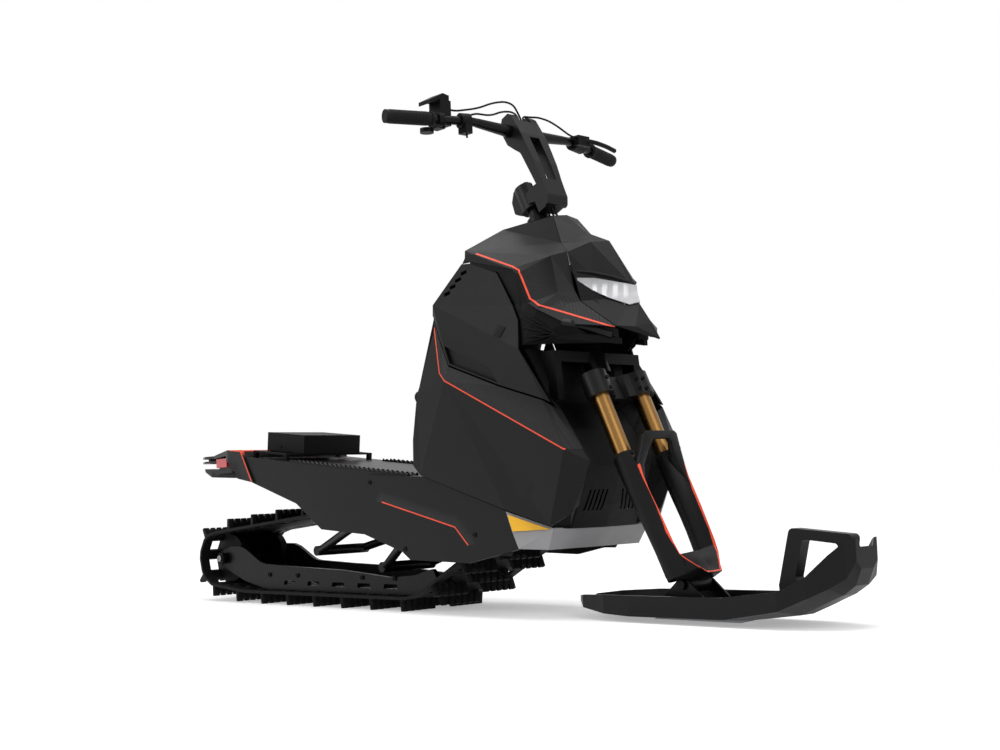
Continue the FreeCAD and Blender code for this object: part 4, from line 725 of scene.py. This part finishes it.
# %% Fork scoop and arch
SKI_PIVOT = -1000
HUB_RADIUS = 0.018
HUB_WIDTH = 0.074
SCOOP_SECTIONS = [
    (-925, [(24, 0), (24, 52), (40, 62), (75, 71), (44, 48), (29, 0)]),
    (-943, [(20, 0), (20, 60), (38, 80), (78, 67), (52, 40), (37, 0)]),
    (-962, [(20, 0), (20, 58), (38, 79), (84, 53), (68, 30), (56, 0)]),
    (-980, [(22, 0), (22, 52), (40, 76), (91, 38), (84, 20), (76, 0)]),
    (-988, [(26, 0), (26, 48), (42, 66), (94, 33), (90, 18), (86, 0)]),
    (-999, [(56, 0), (56, 22), (62, 36), (98, 25), (98, 12), (97, 0)])]
scoop_outlines = []
for height, half in SCOOP_SECTIONS:
    whole = half + [(ahead, -side) for ahead, side in reversed(half[1:-1])]
    scoop_outlines.append([steered(ahead, side, height) for ahead, side in whole])
scoop = grown(scoop_outlines)

ARCH_STATIONS = [
    ((72, 79, -782), (71, 77, -786), 22), ((72, 80.5, -748), (70, 73, -756), 28),
    ((76, 80, -716), (72, 60, -722), 24), ((92, 66, -682), (86, 44, -693), 17),
    ((102, 59, -657), (97, 35, -678), 14), ((104, 50, -651), (100, 27, -669), 13)]
arch_outlines = []
for outer, inner, depth in ARCH_STATIONS:
    inner_back = (inner[0] - depth, inner[1], inner[2] + 4)
    outer_back = (outer[0] - depth, outer[1], outer[2] + 2)
    arch_outlines.append([outer, inner, inner_back, outer_back])
arch_path = arch_outlines + [[(ahead, -side, height) for ahead, side, height in corners]
                             for corners in reversed(arch_outlines)]
arch = grown([[steered(*corner) for corner in corners] for corners in arch_path])
rounded_edges(arch, 0.0022, 2, 25)

fresh()
bpy.ops.mesh.primitive_cylinder_add(vertices=32, radius=HUB_RADIUS, depth=HUB_WIDTH,
                                    location=steered(TUBE_AHEAD, 0, SKI_PIVOT), rotation=(math.pi / 2, 0, 0))
hub = bpy.context.object
bpy.ops.object.mode_set(mode="EDIT")
choose_faces(hub, lambda face: len(face.verts) > 4)
bpy.ops.mesh.inset(thickness=0.005, depth=0)
bpy.ops.mesh.extrude_region_shrink_fatten(TRANSFORM_OT_shrink_fatten={"value": 0.0015})
bpy.ops.object.mode_set(mode="OBJECT")
rounded_edges(hub, 0.001)
casting = joined([legs, scoop, arch, hub])

# %% [markdown]
# The casting wears the panels' black, with a coral line along both fins and across the toe, and the
# honeycomb in the scoop between them. Seen from the side the fins are one line, so the mask is the
# distance to it across the front view, measured along the steering axis.

# %% Fork finish
FIN_LINE = [(79.5, -722), (79, -748), (76, -815), (73.5, -887), (71, -915), (66, -943), (52, -962),
            (37, -980), (24, -995), (0, -995)]
FORK_CELL = 0.0072
FORK_CELL_BORDER = (0.38, 0.46)
FACES_FRONT = (0.054, 0.058)
IN_THE_SCOOP = (0.028, 0.036)
NEAR_THE_FIN = (0.024, 0.036)
LOW_DOWN = (-0.93, -0.76)

fork_black = Shader("fork_black")
fork_black.set("Specular IOR Level", PANEL_SHINE)
world_x, world_y, world_z = fork_black.place()
from_x, from_z = world_x - HEAD_TOP.x, world_z - HEAD_TOP.z
ahead = from_x * math.cos(RAKE) + from_z * math.sin(RAKE)
height = from_z * math.cos(RAKE) - from_x * math.sin(RAKE)
beside = world_y.size()
to_fin = line_distance(beside, height, FIN_LINE)
fin_line = (1 - to_fin.ramp(0.0016, 0.0021)) * ahead.ramp(*FACES_FRONT)
cells = honeycomb(world_y, height, FORK_CELL).ramp(*FORK_CELL_BORDER)
half_width = line_height(height, [(up, side) for side, up in reversed(FIN_LINE)])
inside_fins = (1 - to_fin.ramp(*NEAR_THE_FIN)) * (1 - height.ramp(*LOW_DOWN))
inside_fins = inside_fins * (half_width - beside).over(0.0015) * ahead.ramp(*IN_THE_SCOOP)
cloud = fork_black.noise(9.0, 4.0)
cast_plain = fork_black.mix(cloud, grey(PANEL_LEVEL * 0.85), grey(PANEL_LEVEL * 1.05))
cast_worn = fork_black.mix(inside_fins * (1 - cells) * CELL_CONTRAST, cast_plain, grey(PANEL_LEVEL * 2.3))
fork_black.set("Base Color", fork_black.mix(fin_line, cast_worn, CORAL))
fork_black.set("Roughness", fork_black.noise(40.0, 3.0) * 0.12 + 0.32)
fork_black.bump(fork_black.noise(700.0, 2.0) * 0.1 - inside_fins * cells, RELIEF)
hand_over(casting, "fork_casting", "steering", fork_black, 28)
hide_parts("fork_lower")

# %% [markdown]
# Rubber wipers sit on top of the legs, where the gold tubes slide in. Each is a ring: a short cylinder
# without its ends, given a wall and rounded rims.

# %% Fork wipers
WIPER_RADIUS = 0.0245
WIPER_HEIGHT = 0.009
WIPER_WALL = 0.0032
LEG_TOP = -682

fresh()
bpy.ops.mesh.primitive_cylinder_add(vertices=40, radius=WIPER_RADIUS, depth=WIPER_HEIGHT,
                                    end_fill_type="NOTHING")
wiper = bpy.context.object
bpy.ops.object.mode_set(mode="EDIT")
bpy.ops.mesh.select_all(action="SELECT")
bpy.ops.mesh.subdivide(number_cuts=2, quadcorner="INNERVERT")
bpy.ops.object.mode_set(mode="OBJECT")
modified(wiper, "SOLIDIFY", thickness=WIPER_WALL, offset=-1.0)
rounded_edges(wiper, 0.0008)
tops = [spot(steered(TUBE_AHEAD, side, LEG_TOP), AXIS_UP) for side in (-TUBE_SIDE, TUBE_SIDE)]
wipers = copies(wiper, tops)
hand_over(wipers, "fork_wipers", "steering", grip_rubber)

# %% [markdown]
# Bolts hold the lower covers, the slide rails and the fork's crown. One cap screw is modelled with its
# socket and copied everywhere. A ray finds the surface under each screw, so that every head sits on
# the piece that it holds, whatever the panel's slope. The crown's screws are found from the camera,
# at their places in the picture, and the outer two are mirrored.

# %% Cap screws
RAY_START = 0.6
SIDES = ((-1, "right"), (1, "left"))
COVER_SCREWS = ((-0.199, 0.337), (-0.063, 0.165), (0.20, 0.20))
RAIL_SCREWS = (-0.80, -0.66, -0.36, -0.22)
RAIL_SCREW_HEIGHT = 0.082
CROWN_SCREWS = ((607, 377), (611, 387), (636.5, 379), (640, 388))


def on_surface(name, start, direction):
    """Where a ray from a place meets a node, and which way the surface looks there."""
    hit, place, normal, _ = nodes[name].ray_cast(Vector(start), Vector(direction).normalized())
    if not hit:
        return None
    return place, normal if normal.dot(Vector(direction)) < 0 else -normal


def through(column, row):
    """The direction from the camera through a point of the picture."""
    across = (column - PICTURE_WIDTH / 2) / PICTURE_WIDTH / FOCAL_IN_WIDTHS
    down = (row - PICTURE_HEIGHT / 2) / PICTURE_WIDTH / FOCAL_IN_WIDTHS
    return ahead_of_camera + to_right * across + to_below * down


def screw(radius, height):
    """A cap screw's head, standing on the XY plane, with a round socket."""
    sunk = 0.0006
    fresh()
    bpy.ops.mesh.primitive_cylinder_add(vertices=12, radius=radius, depth=height,
                                        location=(0, 0, height / 2 - sunk))
    head = bpy.context.object
    bpy.ops.object.mode_set(mode="EDIT")
    choose_faces(head, lambda face: face.normal.z > 0.9)
    bpy.ops.mesh.inset(thickness=radius * 0.45, depth=0)
    bpy.ops.mesh.inset(thickness=radius * 0.02, depth=-height * 0.55)
    bpy.ops.object.mode_set(mode="OBJECT")
    return rounded_edges(head, radius * 0.1, 1, 40)


def screwed(name, body, finish, radius, height, seats):
    """Screws of one size on their seats."""
    found = [seat for seat in seats if seat]
    print(name, "seats:", len(found), "of", len(seats))
    piece = copies(screw(radius, height), [spot(place, normal) for place, normal in found])
    hand_over(piece, name, body, finish)


cover_seats = [on_surface("lower_cover_" + name, (x, side * RAY_START, z), (0, -side, 0))
               for side, name in SIDES for x, z in COVER_SCREWS]
screwed("cover_screws", "chassis", bolt_black, 0.0062, 0.0034, cover_seats)

rail_seats = [on_surface("slide_rails", (x, side * 0.13, RAIL_SCREW_HEIGHT), (0, -side, 0))
              for side in (-1, 1) for x in RAIL_SCREWS]
screwed("rail_screws", "chassis", bolt_black, 0.0065, 0.005, rail_seats)

crown_seats = [on_surface("fork_crown", EYE, through(column, row)) for column, row in CROWN_SCREWS]
mirrored = [(Vector((place.x, -place.y, place.z)), Vector((normal.x, -normal.y, normal.z)))
            for place, normal in [seat for seat in crown_seats[:2] if seat]]
screwed("crown_screws", "steering", bolt_black, 0.0048, 0.005, crown_seats + mirrored)

# %% [markdown]
# Each lug of the track is a row of rubber fingers, where the construction has a plain block. The lugs
# are found by their tips, the only faces of the track that are long across and nine millimetres the
# other way. A tip may be several triangles, so those that lie together are gathered into one lug: its
# middle, the way it points, and where it starts and ends across the belt.

# %% Track lugs
track_mesh = nodes["track"].data
LUG_TIP = 0.009
LUG_HEIGHT = 0.030
LUG_SHORTEST = 0.09
SAME_LUG = 0.02
tips = {}
for face in track_mesh.polygons:
    corners = [track_mesh.vertices[number].co for number in face.vertices]
    sides = [corner.y for corner in corners]
    flat = [Vector((corner.x, 0, corner.z)) for corner in corners]
    narrow = max((first - second).length for first in flat for second in flat)
    long_across = max(sides) - min(sides) > LUG_SHORTEST and abs(face.normal.y) < 0.1
    if long_across and abs(narrow - LUG_TIP) < 0.0008:
        key = (round(face.normal.x, 2), round(face.normal.z, 2), round(min(sides), 3), round(max(sides), 3))
        tips.setdefault(key, []).append((flat, face.normal.copy()))
lugs = []
for (_, _, low, high), found in tips.items():
    while found:
        flat, normal = found.pop(0)
        near = [other for other in found if (other[0][0] - flat[0]).length < SAME_LUG]
        for other in near:
            found.remove(other)
        every = flat + [corner for other in near for corner in other[0]]
        forward = (max(corner.x for corner in every) + min(corner.x for corner in every)) / 2
        upward = (max(corner.z for corner in every) + min(corner.z for corner in every)) / 2
        lugs.append((Vector((forward, 0, upward)), normal, low, high))
print("lugs:", len(lugs))

# %% [markdown]
# The tips of the lugs are notched, which shows in the machine's outline. The track is a copy of the
# construction, with its loose triangles merged, and a boolean takes all the notches out at once. Each
# finger then gets a rib, thick enough to stand out on both faces of the lug and narrower at its tip.

# %% Notched tread
FINGER = 0.021
NOTCH = (0.020, 0.0095, 0.026)
NOTCH_BOTTOM = 0.55
RIB = (0.019, 0.0062, 0.022)
RIB_TIP = (0.62, 0.75, 1.0)


def wedge(measures, height, looks_up, narrowing):
    """A block of given measures about a height, narrowed at its upper or lower end."""
    fresh()
    bpy.ops.mesh.primitive_cube_add(size=1.0)
    piece = bpy.context.object
    piece.scale = measures
    piece.location = (0, 0, height)
    bpy.ops.object.transform_apply(location=True, scale=True)
    bpy.ops.object.mode_set(mode="EDIT")
    choose_faces(piece, lambda face: face.normal.z * looks_up > 0.9)
    bpy.ops.transform.resize(value=narrowing)
    bpy.ops.object.mode_set(mode="OBJECT")
    return piece


tread = bpy.data.objects.new("tread", track_mesh.copy())
bpy.context.scene.collection.objects.link(tread)
only(tread)
bpy.ops.object.mode_set(mode="EDIT")
bpy.ops.mesh.select_all(action="SELECT")
bpy.ops.mesh.remove_doubles(threshold=0.00002)
bpy.ops.mesh.normals_make_consistent(inside=False)
notch_spots, rib_spots = [], []
for middle, outward, low, high in lugs:
    count = max(3, round((high - low) / FINGER))
    along_belt = outward.cross(TO_LEFT)
    for number in range(count):
        finger = Vector((middle.x, low + (high - low) * (number + 0.5) / count, middle.z))
        rib_spots.append(spot(finger - outward * LUG_HEIGHT, outward, along_belt))
        if number:
            gap = Vector((middle.x, low + (high - low) * number / count, middle.z))
            notch_spots.append(spot(gap, outward, along_belt))
notches = copies(wedge(NOTCH, 0, -1, (1.0, NOTCH_BOTTOM, 1.0)), notch_spots)
modified(tread, "BOOLEAN", operation="DIFFERENCE", object=notches, solver="EXACT")
bpy.data.objects.remove(notches)
ribs = copies(wedge(RIB, RIB[2] / 2, 1, RIB_TIP), rib_spots)
tread = joined([tread, ribs])
hand_over(tread, "track_tread", "chassis", track_rubber, 25)
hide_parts("track")

# %% [markdown]
# The grips are ribbed rubber with a plug in each end. The ribs are one sleeve, grown along the bar
# through rings that go in and out, so there is no seam between a rib and the next.

# %% Grips
GRIP_START = Vector((0.1924, 0.268, 1.2053))
GRIP_END = Vector((0.1594, 0.401, 1.1993))
RIB_STEP = 0.0022
RIB_TOP = 0.0174
RIB_FOOT = 0.01655
RING_POINTS = 32
FIRST_RIB = 0.026
LAST_RIB = 0.012
PLUG_RADIUS = 0.0125
PLUG_INSETS = ((0.003, 0), (0.0005, -0.002), (0.003, 0), (0.0005, 0.0016))


def ring(middle, turned, radius):
    """A circle of points about a place, in the plane of a turn."""
    angles = [step * math.tau / RING_POINTS for step in range(RING_POINTS)]
    return [middle + turned @ Vector((radius * math.cos(angle), radius * math.sin(angle), 0))
            for angle in angles]


sleeves = []
for side in (-1, 1):
    start = Vector((GRIP_START.x, side * GRIP_START.y, GRIP_START.z))
    end = Vector((GRIP_END.x, side * GRIP_END.y, GRIP_END.z))
    run = (end - start).normalized()
    turned = spot(Vector(), run, Vector((1, 0, 0)))
    outlines = []
    distance = FIRST_RIB
    while distance < (end - start).length - LAST_RIB:
        for radius in (RIB_FOOT, RIB_TOP, RIB_TOP, RIB_FOOT):
            outlines.append(ring(start + run * distance, turned, radius))
            distance += RIB_STEP * (0.35 if radius == RIB_TOP else 0.65)
    sleeves.append(grown(outlines))
    fresh()
    bpy.ops.mesh.primitive_cylinder_add(vertices=24, radius=PLUG_RADIUS, depth=0.003)
    plug = bpy.context.object
    bpy.ops.object.mode_set(mode="EDIT")
    choose_faces(plug, lambda face: face.normal.z > 0.9)
    for inward, lift in PLUG_INSETS:
        bpy.ops.mesh.inset(thickness=inward, depth=lift)
    bpy.ops.object.mode_set(mode="OBJECT")
    plug.matrix_world = spot(end - run * 0.001, run)
    sleeves.append(rounded_edges(plug, 0.0004, 1))
hand_over(joined(sleeves), "grip_sleeves", "steering", grip_rubber)

# %% [markdown]
# A rubber latch closes each upper panel. It is a slanted plate that follows the panel, so its corners
# are found on the surface and it is grown straight out of it, with its rim rounded over.

# %% Panel latches
LATCH = [(0.312, 0.694), (0.336, 0.686), (0.321, 0.662), (0.297, 0.669)]
LATCH_SUNK = 0.001
LATCH_PROUD = 0.0022

latches = []
for side, name in SIDES:
    corners = [on_surface("upper_panel_" + name, (x, side * RAY_START, z), (0, -side, 0)) for x, z in LATCH]
    base = [place - normal * LATCH_SUNK for place, normal in corners]
    lifted = [place + normal * LATCH_PROUD for place, normal in corners]
    latches.append(rounded_edges(grown([base, lifted]), 0.001, 2))
hand_over(joined(latches), "panel_latches", "chassis", grip_rubber)

# %% [markdown]
# Below the coral line of the cowl runs a straight bar, and beside it a fan of thin blades guards the
# air intake. They are too thin for the shells themselves, so they are grown out of whichever surface
# the picture shows there: rays from the camera find its points, and the other side gets their mirror
# image. The brow over the headlight is made the same way.

# %% Intake bars and blades
INTAKE = ["cowl", "hood", "inner_panel_right", "upper_panel_right", "side_panel_right", "front_shroud",
          "front_wings"]
BAR_LINE = [(562, 321), (590, 328), (612, 335)]
FAN_ROOT = (557, 334)
FAN_TIPS = [(517, 309), (522, 318), (524, 328), (528, 337), (533, 344)]
BROW_LINE = [(577, 271), (592, 273), (612, 277), (630, 282)]
RIB_SUNK = 0.002
RIB_TOP_HALF = 0.3


def seen_on(names, column, row):
    """The first of several nodes that is met through a point of the picture."""
    found = [on_surface(name, EYE, through(column, row)) for name in names]
    found = [one for one in found if one]
    return min(found, key=lambda one: (one[0] - EYE).length) if found else None


def rib_along(names, points, width, height, steps=4):
    """A rib over a surface, along a broken line of the picture, lower towards both ends."""
    seats = []
    for first, second in zip(points, points[1:]):
        for step in range(steps):
            share = step / steps
            column = first[0] + (second[0] - first[0]) * share
            row = first[1] + (second[1] - first[1]) * share
            seats.append(seen_on(names, column, row))
    seats.append(seen_on(names, *points[-1]))
    seats = [seat for seat in seats if seat]
    print("points found:", len(seats), "from", points[0])
    outlines = []
    for number, (place, normal) in enumerate(seats):
        before = seats[max(number - 1, 0)][0]
        after = seats[min(number + 1, len(seats) - 1)][0]
        across = (after - before).normalized().cross(normal).normalized()
        taper = min(1.0, 0.45 + 0.3 * min(number, len(seats) - 1 - number))
        foot = place - normal * RIB_SUNK
        top = place + normal * height * taper
        half, top_half = across * width / 2, across * width * RIB_TOP_HALF
        outlines.append([foot - half, foot + half, top + top_half, top - top_half])
    return grown(outlines)


bar = rounded_edges(rib_along(INTAKE, BAR_LINE, 0.019, 0.009, 3), 0.0015, 2)
hand_over(and_mirrored(bar), "intake_bars", "chassis", alloy_black)

fan = [rounded_edges(rib_along(INTAKE, [tip, FAN_ROOT], 0.006, 0.007), 0.0007, 1) for tip in FAN_TIPS]
hand_over(and_mirrored(joined(fan)), "intake_blades", "chassis", dull_black)

brow = rounded_edges(rib_along(["hood", "headlight"], BROW_LINE, 0.008, 0.005, 2), 0.001, 2)
hand_over(and_mirrored(brow), "lamp_brow", "chassis", panel_black)

# %% [markdown]
# A dark rubber sheet stands for the shade behind the seam between the cowl and the upper panel, so that no
# light comes through. It hangs from points just inside both panels, which rays find above and below the
# seam.

# %% Seam shade sheet
SEAM_LINE = [(462, 260), (470, 262), (480, 265), (488, 267), (496, 269)]
SHADE_SHEET_SPREAD = 10
SHADE_SHEET_FRONT = 0.006
SHADE_SHEET_BACK = 0.010

shade_sheet_outlines = []
for column, row in SEAM_LINE:
    above = seen_on(["cowl"], column, row - SHADE_SHEET_SPREAD)
    under = seen_on(["upper_panel_right"], column, row + SHADE_SHEET_SPREAD)
    if above and under:
        inward = through(column, row).normalized()
        shade_sheet_outlines.append([above[0] + inward * SHADE_SHEET_FRONT, above[0] + inward * SHADE_SHEET_BACK,
                              under[0] + inward * SHADE_SHEET_BACK, under[0] + inward * SHADE_SHEET_FRONT])
print("seal stations:", len(shade_sheet_outlines))
# The sheet is dark rubber that stands for the shade inside the seam.
shade_sheet = rounded_edges(grown(shade_sheet_outlines), 0.0008, 1)
hand_over(and_mirrored(shade_sheet), "seam_shade_sheet", "chassis", grip_rubber)

# %% [markdown]
# The ski is stiffened by ribs along its floor. Each is a low bar that follows the floor from the tail
# to the nose: rays find the floor's height at every station, and the bar is grown through them.

# %% Ski ribs
STATION_STEP = 0.03
OUTER_RIBS = (0.006, 0.006)
NOSE_RIBS = (0.005, 0.004)


def rib_over(side, start, count, width, height):
    """A rib along the ski's floor, at one distance from its middle, through a number of stations."""
    outlines = []
    for step in range(count):
        x = start + STATION_STEP * step
        found = on_surface("ski", (x, side, 0.4), (0, 0, -1))
        if found:
            foot = found[0].z - 0.001
            top = found[0].z + height
            outlines.append([Vector((x, side - width / 2, foot)), Vector((x, side + width / 2, foot)),
                             Vector((x, side + width * RIB_TOP_HALF, top)),
                             Vector((x, side - width * RIB_TOP_HALF, top))])
    return grown(outlines)


ski_ribs = []
for side in (-0.052, 0.052):
    ski_ribs.append(rib_over(side, 0.50, 4, *OUTER_RIBS))
    ski_ribs.append(rib_over(side, 0.79, 9, *OUTER_RIBS))
for side in (-0.03, 0.0, 0.03):
    ski_ribs.append(rib_over(side, 0.86, 7, *NOSE_RIBS))
ski_ribs = joined([rounded_edges(piece, 0.0008, 1) for piece in ski_ribs])
hand_over(ski_ribs, "ski_ribs", "ski_body", ski_black)

# %% [markdown]
# Bright cap screws close the rear axle, and small ones hold the traction strips and the box at the
# rear of the deck. They are the same modelled head at other sizes.

# %% Other screws
REAR_AXLE = (-1.0375, 0.128)
STRIP_START = -0.25
STRIP_STEP = 0.105
STRIP_SIDE = 0.16
BOX_MIDDLE = (-0.672, 0.455)
BOX_SCREW_OFF = 0.06

screwed("axle_screws", "chassis", zinc, 0.0095, 0.007,
        [on_surface("rear_axle", (REAR_AXLE[0], side * 0.4, REAR_AXLE[1]), (0, -side, 0))
         for side in (-1, 1)])
screwed("strip_screws", "chassis", bolt_black, 0.004, 0.0025,
        [on_surface("traction_strips", (STRIP_START - STRIP_STEP * step, side, 0.8), (0, 0, -1))
         for side in (-STRIP_SIDE, STRIP_SIDE) for step in range(4)])
screwed("bumper_screws", "chassis", bolt_black, 0.0042, 0.0025,
        [on_surface("cargo_box", (BOX_MIDDLE[0] + ahead_by, side * 0.5, BOX_MIDDLE[1]), (0, -side, 0))
         for side in (-1, 1) for ahead_by in (-BOX_SCREW_OFF, BOX_SCREW_OFF)])
